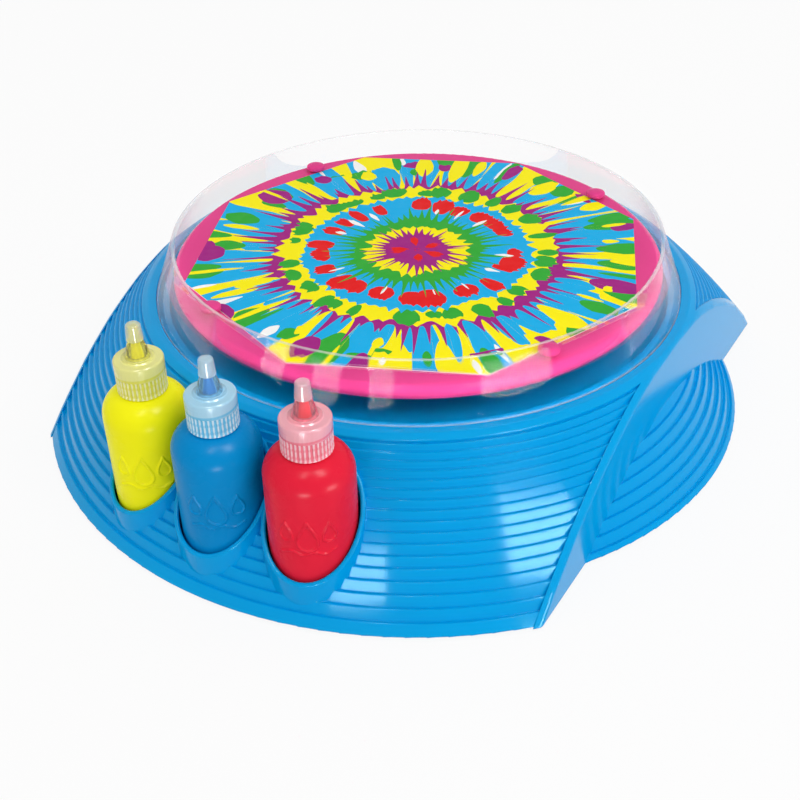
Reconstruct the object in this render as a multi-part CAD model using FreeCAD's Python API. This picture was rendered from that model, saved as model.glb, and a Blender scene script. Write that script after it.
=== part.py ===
import FreeCAD, Part
import math
import os

# Spin art machine: a card spins on a turntable inside a clear guard while paint is dripped on it.
# Frame: millimetres, +Z up, origin on the spindle axis at the table top.
# Angles are in degrees, anticlockwise from +X seen from above.

Vec = FreeCAD.Vector
zAxis = Vec(0, 0, 1)
origin = Vec(0, 0, 0)

# ---- clear splash guard and the seat it stands in
guard_foot_radius = 111.0
guard_rim_radius = 102.5
guard_rim_height = 76.7
guard_wall = 2.0
guard_rim_round = 0.9
guard_foot_round = 0.4
guard_seat_gap = 0.3
seat_depth = 2.0
seat_ledge = 5.0              # from the guard's foot in to the well's wall

# ---- base shell
wall = 2.4
edge_height = 1.2             # gap under the shell's lower edge
shelf_height = 54.0           # smooth ring round the guard
shelf_width = 3.6
shelf_round = 2.0
crown_run = 2.9               # from the edge of the smooth ring to the first nose
crown_drop = 1.3
crown_round = 0.4
first_rib_step = 0.3          # from the first nose out to the first groove
first_rib_drop = 2.2          # first groove, below the smooth ring
slope_run = 45.5              # radial, from the first groove to the foot of the tall cone
slope_bulge = 2.0             # how far the tall cone stands out of a straight line
rib_count = 17
rib_growth = 0.021            # each band is wider than the one above it by this share of the first
foot_band = 3.9               # plain band below the lowest groove, radial
rib_ledge = 0.9               # tread of each step
rib_rise = 0.05               # nose above the line of the grooves
rib_groove = 0.35             # depth of the fine line at the back of each tread
rib_nose = 0.3                # rounding of each step's edge
foot_round = 0.4
flat_angle = -30.3            # direction that one flat faces, the other faces away from it
flat_clear = 1.4              # from the edge of the smooth ring to each flat
rim_strip = 2.4               # smooth strip between the rib ends and a flat
rim_lift = 0.65               # how far the strip stands out of the line of the grooves
rim_round = 1.8               # rounding of the ridge over a flat
strip_round = 8.0             # softens the corners of the strip's outline
strip_crest = 1.3             # the strip's first corner, as a multiple of the crown's run and drop
recess_run = 24.5             # radial, from a flat to the foot of the low cone
recess_top_height = 27.9      # height of the low cone at the flat
recess_rib_count = 7
recess_rib_start = 2.7        # from the flat to the first groove
recess_foot_band = 2.9
recess_overlap = 12.0         # how far the low cone runs inside the tall one

# ---- well
well_floor = 46.0             # top of the well's floor
drip_collar_radius = 9.0      # raised collar that keeps paint out of the bearing
drip_collar_height = 3.0

# ---- bottles
bottle_radius = 16.1
bottle_wall = 1.0
bottle_bottom = 1.8           # thickness of the bottle's floor
bottle_foot_round = 1.6
bottle_kick = 0.6             # hollow under the bottle's floor
bottle_ring = 5.0             # width of the ring that the bottle stands on
bottle_straight = 49.7        # straight side, above the bottle's foot
shoulder_height = 9.5
shoulder_round = 2.0
neck_radius = 7.3
neck_length = 11.9
neck_wall = 1.2
paint_level = 44.0            # above the bottle's foot
paint_gap = 0.1
collar_radius = 9.1
collar_height = 13.2
collar_top_wall = 1.6
collar_round = 0.7
thread_gap = 0.3
nozzle_foot_radius = 4.7
nozzle_ring_width = 1.6       # low ring round the nozzle's foot
nozzle_ring_height = 0.5
nozzle_step_radius = 2.6      # where the tip cap's lower edge meets the nozzle
nozzle_tip_radius = 1.9
nozzle_taper = 0.38           # from the step to the tip
nozzle_length = 12.8
nozzle_bore_radius = 0.8
nozzle_wall = 1.8             # at the nozzle's foot
tip_cap_length = 5.2
tip_cap_radius = 3.1
tip_cap_taper = 0.5
tip_cap_wall = 0.8
tip_cap_round = 0.9
tip_gap = 0.3

# ---- bottle cups
cup_middle_angle = -120.7
cup_order = ("yellow", "blue", "red")
cup_wall = 1.8
cup_web = 2.6                 # between the hollows of two neighbours
cup_gap = 0.8                 # round the bottle
cup_floor = 2.4
cup_foot_clear = 5.1          # from a cup's outermost point to the foot of the tall cone
lip_height = 33.5             # lip plane, above the cup's own axis
lip_slope = 0.92              # fall of the lip plane per millimetre outward
lip_round = 0.7

# ---- turntable and card
tray_top = 65.0
tray_gap = 1.3                # from the tray's widest ring to the guard, level
tray_round_run = 3.0          # from the flat face out to the widest ring
tray_round_drop = 2.6
tray_edge_round = 2.0
tray_skirt_height = 5.4
tray_skirt_inset = 1.8
tray_skirt_round = 0.6
tray_wall = 2.0
tray_rib_count = 8
tray_rib_width = 1.6
tray_rib_drop = 2.6
tray_rib_turn = 22.5          # from a peg to the next rib
hub_radius = 8.0
hub_bottom = 51.5
hub_recess_radius = 3.4
hub_recess_depth = 1.9
hub_land = 2.7                # tray between the screw's head and the shaft's end
hub_screw_radius = 1.3
hub_screw_head = 1.5
hub_screw_reach = 8.0         # into the shaft
card_margin = 2.0             # from the card's corners to the edge of the flat face
card_corner_cut = 53.8
card_thickness = 0.5
card_turn = -7.4
peg_offset = 3.67             # from the card's cut corner out to a peg's ring
peg_angle = 30.6
peg_count = 4
peg_stem_radius = 1.9
peg_head_radius = 4.2
peg_head_height = 2.4
peg_reach = 1.3               # under the head, above the tray
peg_tail = 3.4                # through the tray
peg_chamfer = 0.3

# ---- spindle and drive
shaft_radius = 2.0
running_gap = 0.05            # radial, shaft in bush
bush_wall = 2.2
bush_flange = 1.2
bush_flange_reach = 1.5
bush_length = 9.0
bush_seat_wall = 2.4
flange_gap = 0.1
tooth_module = 0.8
gear_teeth = 64
pinion_teeth = 12
pressure_angle = 20.0
tooth_addendum = 0.85         # in modules
tooth_dedendum = 1.2
tooth_play = 0.08             # taken off each flank
mesh_gap = 0.12               # added to the centre distance
gear_bottom = 11.0
gear_thickness = 4.0
gear_web = 2.0
gear_rim = 3.6                # from the pitch circle in to the web
gear_hub_radius = 5.5
gear_hub_height = 9.0
gear_hole_count = 5
gear_hole_radius = 3.6
gear_clear = 1.9              # from the teeth to the battery bay
pinion_thickness = 6.0
motor_angle = 75.0
motor_shaft_radius = 1.0
motor_shaft_hold = 10.0       # length of shaft inside the can
motor_width = 20.1
motor_depth = 15.1
motor_height = 25.0
motor_boss_radius = 3.0
motor_boss_height = 1.5
motor_lug_length = 2.6
motor_lug_width = 2.0
motor_lug_thickness = 0.6
motor_lug_rise = 11.4         # above the can's lower face
motor_lug_side = 4.0          # from the can's middle to each lug
cradle_wall = 1.5
cradle_depth = 6.6            # down the can from the well's floor
bracket_thickness = 1.6
bracket_inset = 1.5
clip_thickness = 0.8
clip_radius = 4.2
clip_groove = 0.4
clip_mouth = 2.4
clip_gap = 0.3

# ---- underside
plate_bottom = 2.6
plate_thickness = 3.0
plate_inset = 9.2             # from the shell's foot in to the plate's edge
plate_gap = 0.6               # from the plate to the flats' walls and the cups
plate_screw_inset = 10.0      # from a flat's plane in to the ring of plate screws
plate_screw_angles = (-85.0, -30.0, 30.0, 90.0, 175.0, 215.0)
post_radius = 4.2
screw_radius = 1.4
screw_head_radius = 2.8
screw_head_height = 1.8
screw_slot_width = 0.7
screw_length = 12.0
pilot_depth = 14.0
hole_gap = 0.2                # radial, screw in a clearance hole
thrust_floor_height = 1.0     # plate left under the shaft's end
foot_inset = 13.3             # from the shell's foot in to the ring of rubber feet
foot_angles = (-85.0, 22.0, 95.0, 202.0)
foot_radius = 6.0
foot_socket_depth = 1.4
foot_edge_round = 0.5
seat_fit = 0.05

# ---- battery bay, four AA cells side by side
cell_radius = 7.1
cell_length = 49.2
cell_nub_radius = 2.7
cell_nub_length = 1.3
cell_edge_round = 0.6
cell_spacing = 0.5
cell_count = 4
bay_angle = -120.0
bay_end_gap = 3.0             # at each end of a cell, for its contact
bay_side_gap = 0.6
bay_wall = 1.8
bay_clear = 0.4
door_gap = 0.3
door_lip = 2.4
door_rebate = 1.6
door_rim = 2.7                # wall of the door's raised frame
door_screw_reach = 6.0        # from the bay's side to the screw
door_screw_boss = 3.4
door_screw_length = 9.0
face_gap = 0.05               # between faces that lie on each other
contact_thickness = 0.4
contact_height = 9.0
contact_margin = 4.0          # contact plate beyond each cell's axis
tab_width = 3.0
tab_reach = 3.0               # solder tab, outside the bay
tab_rise = 2.0                # above the cells' axes
leaf_width = 4.4
leaf_foot = 3.2
leaf_rise = 4.6
leaf_drop = 1.2               # the leaf at a nub sits this much lower

# ---- power button, on the flat that faces away from the cups
button_radius = 6.0
button_margin = 1.7           # from the low cone's top to the button
button_gap = 0.35
button_proud = 3.2
button_round = 1.2
button_flange = 1.4
button_flange_reach = 1.3     # beyond the button
button_stem_radius = 2.0
button_stem_length = 6.0
switch_width = 15.0
switch_depth = 9.0
switch_tall = 12.0
switch_back_wall = 1.2
switch_wall_gap = 4.6         # from the shell's wall to the switch
switch_lug_side = 3.5
switch_lug_length = 2.5
switch_lug_width = 0.6
switch_lug_height = 2.4
rail_width = 2.0

# ---- leads
lead_radius = 0.8

# ---- places that follow from the sizes above
well_radius = guard_foot_radius - seat_ledge
guard_lean = (guard_foot_radius - guard_rim_radius) / (guard_rim_height - shelf_height)
shelf_radius = guard_foot_radius + shelf_width
crown_radius = shelf_radius + crown_run
first_rib_radius = crown_radius + first_rib_step
first_rib_height = shelf_height - first_rib_drop
main_foot_radius = first_rib_radius + slope_run
flat_distance = shelf_radius + flat_clear
recess_foot_radius = flat_distance + recess_run
far_flat = flat_angle + 180
wall_inset = wall * math.sqrt(2) + rib_groove

cup_inner_radius = bottle_radius + cup_gap
cup_outer_radius = cup_inner_radius + cup_wall
cup_blank_top = lip_height + 2 * lip_slope * cup_outer_radius      # before the lip plane cuts it
cup_ring_radius = main_foot_radius - cup_foot_clear - cup_outer_radius
cup_step = 2 * math.degrees(math.asin((2 * cup_inner_radius + cup_web) / (2 * cup_ring_radius)))
cup_angles = {colour: cup_middle_angle + cup_step * (i - 1) for i, colour in enumerate(cup_order)}

bottle_foot = edge_height + cup_floor
shoulder_start = bottle_foot + bottle_straight
neck_foot = shoulder_start + shoulder_height
neck_top = neck_foot + neck_length
collar_bottom = neck_top + collar_top_wall - collar_height
collar_top = neck_top + collar_top_wall
nozzle_top = collar_top + nozzle_length
tip_cap_bottom = nozzle_top - tip_cap_length

tray_radius = guard_foot_radius - (tray_top - shelf_height) * guard_lean - guard_wall - tray_gap
tray_flat_radius = tray_radius - tray_round_run
tray_under = tray_top - tray_wall
card_reach = tray_flat_radius - card_margin
card_half_width = (card_corner_cut + math.sqrt(2 * card_reach ** 2 - card_corner_cut ** 2)) / 2
peg_ring_radius = (2 * card_half_width - card_corner_cut) / math.sqrt(2) + peg_offset
shaft_top = tray_top - hub_recess_depth - hub_land

plate_top = plate_bottom + plate_thickness
thrust_floor = plate_bottom + thrust_floor_height
plate_screw_ring = flat_distance - plate_screw_inset
foot_ring_radius = main_foot_radius - foot_inset
bush_radius = shaft_radius + running_gap + bush_wall
upper_bush_top = well_floor + drip_collar_height
upper_bush_bottom = upper_bush_top - bush_length
lower_bush_top = gear_bottom - clip_gap
clip_bottom = upper_bush_bottom - clip_gap - clip_thickness
gear_tip_radius = tooth_module * (gear_teeth / 2 + tooth_addendum)
motor_distance = tooth_module * (gear_teeth + pinion_teeth) / 2 + mesh_gap
motor_bottom = well_floor - wall - motor_height
motor_boss_bottom = motor_bottom - motor_boss_height
pinion_bottom = gear_bottom - (pinion_thickness - gear_thickness) / 2
post_offset = motor_width / 2 + cradle_wall + post_radius

cell_pitch = 2 * cell_radius + cell_spacing
cell_height = plate_top + bay_clear + cell_radius
bay_roof = cell_height + cell_radius + bay_clear
bay_length = cell_length + cell_nub_length + 2 * bay_end_gap
bay_width = cell_pitch * cell_count + 2 * bay_side_gap
bay_centre_radius = gear_tip_radius + gear_clear + bay_wall + bay_width / 2

button_height = recess_top_height + button_margin + button_radius
switch_front = wall + switch_wall_gap
switch_back = switch_front + switch_depth


def polar(radius, angle, z=0.0):
    a = math.radians(angle)
    return Vec(radius * math.cos(a), radius * math.sin(a), z)


def cyl(radius, height, base=origin, axis=zAxis):
    return Part.makeCylinder(radius, height, base, axis)


def disc(radius, z0, z1, centre=origin):
    """An upright cylinder between two heights."""
    return cyl(radius, z1 - z0, Vec(centre.x, centre.y, z0))


def ring(outer, inner, z0, z1):
    return disc(outer, z0, z1).cut(disc(inner, z0, z1))


def fuse_all(shapes):
    whole = shapes[0]
    if len(shapes) > 1:
        whole = whole.multiFuse(shapes[1:])
    return whole.removeSplitter()


def moved(shape, place):
    copy = shape.copy()
    copy.translate(place)
    return copy


def turned_by(shape, angle):
    copy = shape.copy()
    copy.rotate(origin, zAxis, angle)
    return copy


def box_at(centre, size, angle=0.0):
    """A box by its centre and size, turned about its own upright axis."""
    box = Part.makeBox(size[0], size[1], size[2], Vec(-size[0] / 2, -size[1] / 2, -size[2] / 2))
    box.rotate(origin, zAxis, angle)
    box.translate(centre)
    return box


def corner_arc(before, here, after, radius):
    """Start, middle and end of the arc that rounds the corner at here."""
    a = (before - here).normalize()
    b = (after - here).normalize()
    half = math.acos(max(-1.0, min(1.0, a.dot(b)))) / 2
    reach = radius / math.tan(half)
    middle = (a + b).normalize()
    centre = here + middle * (radius / math.sin(half))
    return here + a * reach, centre - middle * radius, here + b * reach


def outline(points):
    """Edges of a closed outline in the XZ plane; each point is (r, z) or (r, z, corner radius)."""
    count = len(points)
    corners = [Vec(p[0], 0, p[1]) for p in points]
    arcs = []
    for i in range(count):
        if len(points[i]) > 2:
            arcs.append(corner_arc(corners[i - 1], corners[i], corners[(i + 1) % count], points[i][2]))
        else:
            arcs.append((corners[i], None, corners[i]))
    edges = []
    for i in range(count):
        first, middle, last = arcs[i]
        if middle is not None:
            edges.append(Part.Arc(first, middle, last).toShape())
        following = arcs[(i + 1) % count][0]
        edges.append(Part.LineSegment(last, following).toShape())
    return edges


def turned(points):
    """The solid made by spinning an outline of (r, z) points about the Z axis."""
    return Part.Face(Part.Wire(outline(points))).revolve(origin, zAxis, 360)


# ---- base shell

def main_height(radius):
    """Height of the tall cone's line of grooves, an arc that stands out of the straight line."""
    top = (first_rib_radius, first_rib_height)
    chord = math.dist(top, (main_foot_radius, 0.0))
    arc = (chord * chord / 4 + slope_bulge * slope_bulge) / (2 * slope_bulge)
    sink = (arc - slope_bulge) / chord
    centre_r = (top[0] + main_foot_radius) / 2 - first_rib_height * sink
    centre_z = first_rib_height / 2 - slope_run * sink
    return centre_z + math.sqrt(arc * arc - (radius - centre_r) ** 2)


def recess_height(radius):
    return recess_top_height * (recess_foot_radius - radius) / recess_run


def band_radii(first, last, count, growth):
    """Radii of the grooves; each band is wider than the one before by the same amount."""
    steps = [k + growth * k * (k - 1) / 2 for k in range(count)]
    return [first + (last - first) * step / steps[-1] for step in steps]


def main_rib_radii():
    return band_radii(first_rib_radius, main_foot_radius - foot_band, rib_count, rib_growth)


def recess_rib_radii():
    first = flat_distance + recess_rib_start
    return band_radii(first, recess_foot_radius - recess_foot_band, recess_rib_count, 0.0)


def stepped_points(radii, height_at, foot_radius):
    """Outline points of the steps from the top rib down to the foot."""
    points = []
    for r in radii:
        points.append((r - rib_groove, height_at(r) - rib_groove))
        points.append((r + rib_ledge, height_at(r) + rib_rise, rib_nose))
    points.append((foot_radius, edge_height, foot_round))
    return points


def shelf_points():
    return [(0, edge_height), (0, shelf_height), (shelf_radius, shelf_height, shelf_round)]


def ribbed_main():
    crown = [(crown_radius, shelf_height - crown_drop, crown_round)]
    steps = stepped_points(main_rib_radii(), main_height, main_foot_radius)
    return turned(shelf_points() + crown + steps)


def plain_main():
    """The tall cone with no steps, a little outside the noses of the ribs."""
    points = [(shelf_radius + strip_crest * crown_run, shelf_height - strip_crest * crown_drop, strip_round)]
    for r in main_rib_radii()[3::4]:
        points.append((r + rim_lift, main_height(r) + rim_lift, strip_round))
    points.append((main_foot_radius + rib_groove, edge_height))
    return turned(shelf_points() + points)


def ribbed_recess():
    inner = flat_distance - recess_overlap
    points = [(0, edge_height), (0, recess_height(inner)), (inner, recess_height(inner))]
    return turned(points + stepped_points(recess_rib_radii(), recess_height, recess_foot_radius))


def slab(half):
    """Everything within a distance of the plane midway between the flats."""
    reach = 2 * main_foot_radius
    return Part.makeBox(2 * half, 2 * reach, 4 * shelf_height, Vec(-half, -reach, -shelf_height))


def ridge_rounded(body):
    """Rounds the two curved ridges where the tall cone meets the flats."""
    ridges = []
    for edge in body.Edges:
        box = edge.BoundBox
        on_flat = abs(abs(box.Center.x) - flat_distance) < 0.01 and box.XLength < 0.01
        if on_flat and box.ZMax > edge_height + 0.5 and box.ZMin < shelf_height - 0.5:
            ridges.append(edge)
    return body.makeFillet(rim_round, ridges)


def cup_position(colour, z=0.0):
    return polar(cup_ring_radius, cup_angles[colour], z)


def below_lip(body):
    """Cuts a cup off at its sloping lip plane; the cup stands on the origin, its low side towards +X."""
    size = 12 * cup_outer_radius
    above = Part.makeBox(size, size, size, Vec(-size / 2, -size / 2, 0))
    above.rotate(origin, Vec(0, 1, 0), math.degrees(math.atan(lip_slope)))
    above.translate(Vec(0, 0, lip_height))
    return body.cut(above)


def cup_in_place(body, colour):
    return moved(turned_by(body, cup_angles[colour]), cup_position(colour))


def cup_outside(colour):
    return cup_in_place(below_lip(disc(cup_outer_radius, edge_height, cup_blank_top)), colour)


def cup_hollow(colour):
    return disc(cup_inner_radius, bottle_foot, 2 * shelf_height, cup_position(colour))


def cup_tube(colour):
    """The cup's own wall and floor, with a rounded lip."""
    tube = disc(cup_outer_radius, edge_height, cup_blank_top)
    tube = below_lip(tube.cut(disc(cup_inner_radius, bottle_foot, 2 * cup_blank_top)))
    lips = [e for e in tube.Edges if e.BoundBox.ZMax > lip_height and e.Closed]
    return cup_in_place(tube.makeFillet(lip_round, lips), colour)


def plate_screw_places(z=0.0):
    return [polar(plate_screw_ring, angle, z) for angle in plate_screw_angles]


def motor_place(out=0.0, side=0.0, z=0.0):
    """A point given from the motor's axis, away from the spindle and to the side of that."""
    return polar(motor_distance + out, motor_angle, z) + polar(side, motor_angle + 90)


def bracket_screw_places(z=0.0):
    return [motor_place(0, side * post_offset, z) for side in (1, -1)]


def posts():
    """Screw posts that reach down from the shell to the plate and to the motor's bracket."""
    plate_posts = [disc(post_radius, plate_top, shelf_height, place) for place in plate_screw_places()]
    return plate_posts + [disc(post_radius, motor_bottom, shelf_height, place) for place in bracket_screw_places()]


def motor_cradle():
    """Four-sided wall under the well's floor that the motor's upper end sits in."""
    height = wall + cradle_depth
    middle = motor_place(z=well_floor - height / 2)
    size = (motor_depth + 2 * seat_fit, motor_width + 2 * seat_fit)
    outer = box_at(middle, (size[0] + 2 * cradle_wall, size[1] + 2 * cradle_wall, height), motor_angle)
    return outer.cut(box_at(middle, (size[0], size[1], 2 * height), motor_angle))


def on_far_flat(depth, side, z):
    """A point given by its depth inside the far flat, its place along the flat and its height."""
    return polar(flat_distance - depth, far_flat, z) + polar(side, far_flat + 90)


def switch_rails():
    """Two rails inside the far flat that hold the switch by its sides."""
    size = (switch_back, rail_width, switch_tall)
    place = switch_width / 2 + seat_fit + rail_width / 2
    return [box_at(on_far_flat(switch_back / 2, side * place, button_height), size, far_flat) for side in (1, -1)]


def cavity():
    """The hollow under the shell, before the inner posts and cups are left standing in it."""
    top = shelf_height - seat_depth - wall
    below = -edge_height
    points = [(0, below), (0, top), (guard_foot_radius + guard_seat_gap - wall / 2, top, shelf_round)]
    for r in main_rib_radii()[2::4]:
        points.append((r - wall_inset, main_height(r), strip_round))
    foot = main_foot_radius - wall_inset
    tall = turned(points + [(foot, edge_height), (foot, below)]).common(slab(flat_distance - wall))
    inner = flat_distance - recess_overlap
    low_top = recess_height(inner) - wall_inset
    low_foot = recess_foot_radius - wall_inset
    low = turned([(0, below), (0, low_top), (inner - wall_inset, low_top), (low_foot, edge_height), (low_foot, below)])
    return tall.fuse(low)


def hollow():
    """The cavity without what stands in it: the cups, the well, the posts and the rails."""
    shape = turned_by(cavity(), flat_angle)
    standing = [cup_outside(colour) for colour in cup_order]
    standing.append(disc(well_radius + wall, well_floor - wall, 2 * shelf_height))
    standing.append(disc(bush_radius + bush_seat_wall, upper_bush_bottom, well_floor))
    standing += posts() + switch_rails() + [motor_cradle()]
    for piece in standing:
        shape = shape.cut(piece)
    return shape


def base_shell():
    ribbed = ribbed_main().common(slab(flat_distance - rim_strip))
    strips = ridge_rounded(plain_main().common(slab(flat_distance))).cut(slab(flat_distance - rim_strip))
    body = fuse_all([ribbed, strips, ribbed_recess()])
    body = turned_by(body, flat_angle).cut(hollow())
    body = body.cut(disc(well_radius, well_floor, 2 * shelf_height))
    body = body.cut(disc(guard_foot_radius + guard_seat_gap, shelf_height - seat_depth, 2 * shelf_height))
    body = body.fuse(disc(drip_collar_radius, well_floor - wall, upper_bush_top))
    for colour in cup_order:
        body = body.cut(cup_hollow(colour))
    for colour in cup_order:
        body = body.fuse(cup_tube(colour))
    for tool in shell_bores():
        body = body.cut(tool)
    return body


def shell_bores():
    """Bores for the bush, the screws and the button."""
    tools = [disc(bush_radius, plate_top, 2 * shelf_height)]
    tools.append(disc(bush_radius + bush_flange_reach + flange_gap, upper_bush_top - bush_flange, shelf_height))
    for place in plate_screw_places(plate_bottom):
        tools.append(cyl(screw_radius, pilot_depth, place))
    for place in bracket_screw_places(motor_bottom - bracket_thickness):
        tools.append(cyl(screw_radius, pilot_depth - plate_thickness, place))
    start = on_far_flat(2 * wall, 0, button_height)
    tools.append(cyl(button_radius + button_gap, 3 * wall, start, polar(1.0, far_flat)))
    return tools


# ---- guard, tray and card

def splash_guard():
    foot = shelf_height - seat_depth
    inner_foot = guard_foot_radius - guard_wall - seat_depth * guard_lean
    return turned([(guard_foot_radius, foot, guard_foot_round), (guard_foot_radius, shelf_height, guard_foot_round),
                   (guard_rim_radius, guard_rim_height, guard_rim_round),
                   (guard_rim_radius - guard_wall, guard_rim_height, guard_rim_round),
                   (inner_foot, foot, guard_foot_round)])


def tray_ribs():
    inner = hub_radius - tray_rib_width / 2
    outer = tray_flat_radius - tray_wall - tray_round_run
    size = (outer - inner, tray_rib_width, tray_rib_drop + tray_wall / 2)
    ribs = []
    for i in range(tray_rib_count):
        angle = peg_angle + tray_rib_turn + i * 360 / tray_rib_count
        middle = polar((inner + outer) / 2, angle, tray_under + tray_wall / 2 - size[2] / 2)
        ribs.append(box_at(middle, size, angle))
    return ribs


def turntable_tray():
    """A shallow upturned dish with a pressed hub, eight ribs under it and four holes for the pegs."""
    bottom = tray_top - tray_skirt_height
    skirt = tray_radius - tray_skirt_inset
    bore = hub_screw_radius + hole_gap
    tray = turned([
        (shaft_radius, hub_bottom), (hub_radius, hub_bottom, tray_skirt_round), (hub_radius, tray_under),
        (tray_flat_radius - tray_wall, tray_under, tray_skirt_round), (skirt - tray_wall, bottom), (skirt, bottom),
        (tray_radius, tray_top - tray_round_drop, tray_edge_round), (tray_flat_radius, tray_top, tray_edge_round),
        (hub_recess_radius, tray_top), (hub_recess_radius, tray_top - hub_recess_depth),
        (bore, tray_top - hub_recess_depth), (bore, shaft_top), (shaft_radius, shaft_top)])
    tray = fuse_all([tray] + tray_ribs())
    for place in peg_places():
        tray = tray.cut(disc(peg_stem_radius, hub_bottom, 2 * tray_top, place))
    return tray


def peg_places():
    return [polar(peg_ring_radius, peg_angle + 360 / peg_count * i) for i in range(peg_count)]


def paper_pegs():
    """Push-in buttons whose heads hold the card's cut corners."""
    tail = tray_top - peg_tail
    head = tray_top + peg_reach
    crown = head + peg_head_height
    peg = turned([(0, tail), (peg_stem_radius - peg_chamfer, tail), (peg_stem_radius, tail + peg_chamfer),
                  (peg_stem_radius, head), (peg_head_radius, head, peg_chamfer),
                  (peg_head_radius, crown - peg_head_height / 3, peg_head_height / 3),
                  (peg_head_radius / 2, crown, peg_head_radius / 2), (0, crown)])
    return Part.makeCompound([moved(peg, place) for place in peg_places()])


def spin_card():
    half = card_half_width
    short = half - card_corner_cut
    corners = [(half, -short), (half, short), (short, half), (-short, half),
               (-half, short), (-half, -short), (-short, -half), (short, -half)]
    points = [Vec(x, y, tray_top) for x, y in corners]
    card = Part.Face(Part.makePolygon(points + [points[0]])).extrude(Vec(0, 0, card_thickness))
    return turned_by(card, card_turn)


# ---- spindle and drive

def spindle_shaft():
    shaft = disc(shaft_radius, thrust_floor, shaft_top)
    shaft = shaft.cut(ring(2 * shaft_radius, shaft_radius - clip_groove, clip_bottom, clip_bottom + clip_thickness))
    return shaft.cut(disc(hub_screw_radius, shaft_top - hub_screw_reach, shaft_top))


def shaft_clip():
    clip = ring(clip_radius, shaft_radius - clip_groove, clip_bottom, clip_bottom + clip_thickness)
    return clip.cut(box_at(Vec(clip_radius, 0, clip_bottom), (2 * clip_radius, clip_mouth, 4 * clip_thickness)))


def hub_screw():
    floor = tray_top - hub_recess_depth
    top = floor + hub_screw_head
    screw = disc(hub_recess_radius - 3 * hole_gap, floor, top)
    screw = screw.fuse(disc(hub_screw_radius, shaft_top - hub_screw_reach, floor))
    return screw.cut(box_at(Vec(0, 0, top), (2 * hub_recess_radius, screw_slot_width, hub_screw_head)))


def flanged_bush(bottom, top):
    bore = shaft_radius + running_gap
    flange = bush_radius + bush_flange_reach
    return turned([(bore, bottom), (bush_radius, bottom), (bush_radius, top - bush_flange),
                   (flange, top - bush_flange), (flange, top), (bore, top)])


def tooth_flank(teeth):
    """Points (radius, half angle) of an involute flank, from the root to the tip."""
    pitch = tooth_module * teeth / 2
    base = pitch * math.cos(math.radians(pressure_angle))
    tip = pitch + tooth_addendum * tooth_module
    root = pitch - tooth_dedendum * tooth_module
    at_pitch = math.tan(math.radians(pressure_angle)) - math.radians(pressure_angle)
    half = math.pi / (2 * teeth) - tooth_play / pitch
    low = max(base, root)
    radii = [root] if root < base else []
    radii += [low + (tip - low) * share for share in (0, 1 / 3, 2 / 3, 1)]
    flank = []
    for radius in radii:
        roll = math.acos(min(1.0, base / max(radius, base)))
        flank.append((radius, half + at_pitch - (math.tan(roll) - roll)))
    return flank


def spur_gear(teeth, first_angle, bottom, thickness):
    flank = tooth_flank(teeth)
    points = []
    for i in range(teeth):
        middle = first_angle + 360 * i / teeth
        points += [polar(r, middle - math.degrees(half), bottom) for r, half in flank]
        points += [polar(r, middle + math.degrees(half), bottom) for r, half in reversed(flank)]
    return Part.Face(Part.makePolygon(points + [points[0]])).extrude(Vec(0, 0, thickness))


def spindle_gear():
    gear = spur_gear(gear_teeth, motor_angle, gear_bottom, gear_thickness)
    rim = tooth_module * gear_teeth / 2 - gear_rim
    gear = gear.cut(ring(rim, gear_hub_radius, gear_bottom + gear_web, gear_bottom + gear_thickness))
    gear = gear.fuse(disc(gear_hub_radius, gear_bottom, gear_bottom + gear_hub_height))
    for i in range(gear_hole_count):
        angle = motor_angle + 360 * (i + 0.5) / gear_hole_count
        hole = polar((rim + gear_hub_radius) / 2, angle)
        gear = gear.cut(disc(gear_hole_radius, 0, gear_bottom + gear_thickness, hole))
    return gear.cut(disc(shaft_radius, 0, shelf_height))


def motor_pinion():
    gap_angle = motor_angle + 180 + 180 / pinion_teeth
    gear = spur_gear(pinion_teeth, gap_angle, pinion_bottom, pinion_thickness)
    return moved(gear.cut(disc(motor_shaft_radius, 0, shelf_height)), motor_place())


def motor_shaft():
    return disc(motor_shaft_radius, pinion_bottom, motor_bottom + motor_shaft_hold, motor_place())


def motor_lug_places():
    out = motor_depth / 2 + motor_lug_length / 2
    return [motor_place(out, side * motor_lug_side, motor_bottom + motor_lug_rise) for side in (-1, 1)]


def motor_can():
    middle = motor_place(z=motor_bottom + motor_height / 2)
    can = disc(motor_width / 2, motor_bottom, motor_bottom + motor_height, motor_place())
    can = can.common(box_at(middle, (motor_depth, motor_width, motor_height), motor_angle))
    pieces = [can, disc(motor_boss_radius, motor_boss_bottom, motor_bottom, motor_place())]
    for lug in motor_lug_places():
        pieces.append(box_at(lug, (motor_lug_length, motor_lug_width, motor_lug_thickness), motor_angle))
    bore = disc(motor_shaft_radius + running_gap, motor_boss_bottom, motor_bottom + motor_shaft_hold + flange_gap,
                motor_place())
    return fuse_all(pieces).cut(bore)


def motor_bracket():
    bottom = motor_bottom - bracket_thickness
    size = (motor_depth - 2 * bracket_inset, 2 * (post_offset + post_radius), bracket_thickness)
    plate = box_at(motor_place(z=bottom + bracket_thickness / 2), size, motor_angle)
    plate = plate.cut(disc(motor_boss_radius + flange_gap, 0, shelf_height, motor_place()))
    for place in bracket_screw_places():
        plate = plate.cut(disc(screw_radius + hole_gap, 0, shelf_height, place))
    return plate


def cap_screw(length):
    """A screw with its point up; the underside of its head lies at the origin."""
    head = disc(screw_head_radius, -screw_head_height, 0)
    screw = head.fuse(disc(screw_radius, 0, length))
    slot = box_at(Vec(0, 0, -screw_head_height), (1.2 * screw_head_radius, screw_slot_width, screw_head_height))
    return screw.cut(slot).cut(turned_by(slot, 90))


def bracket_screws():
    screw = cap_screw(screw_length - plate_thickness)
    return Part.makeCompound([moved(screw, p) for p in bracket_screw_places(motor_bottom - bracket_thickness)])


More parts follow.
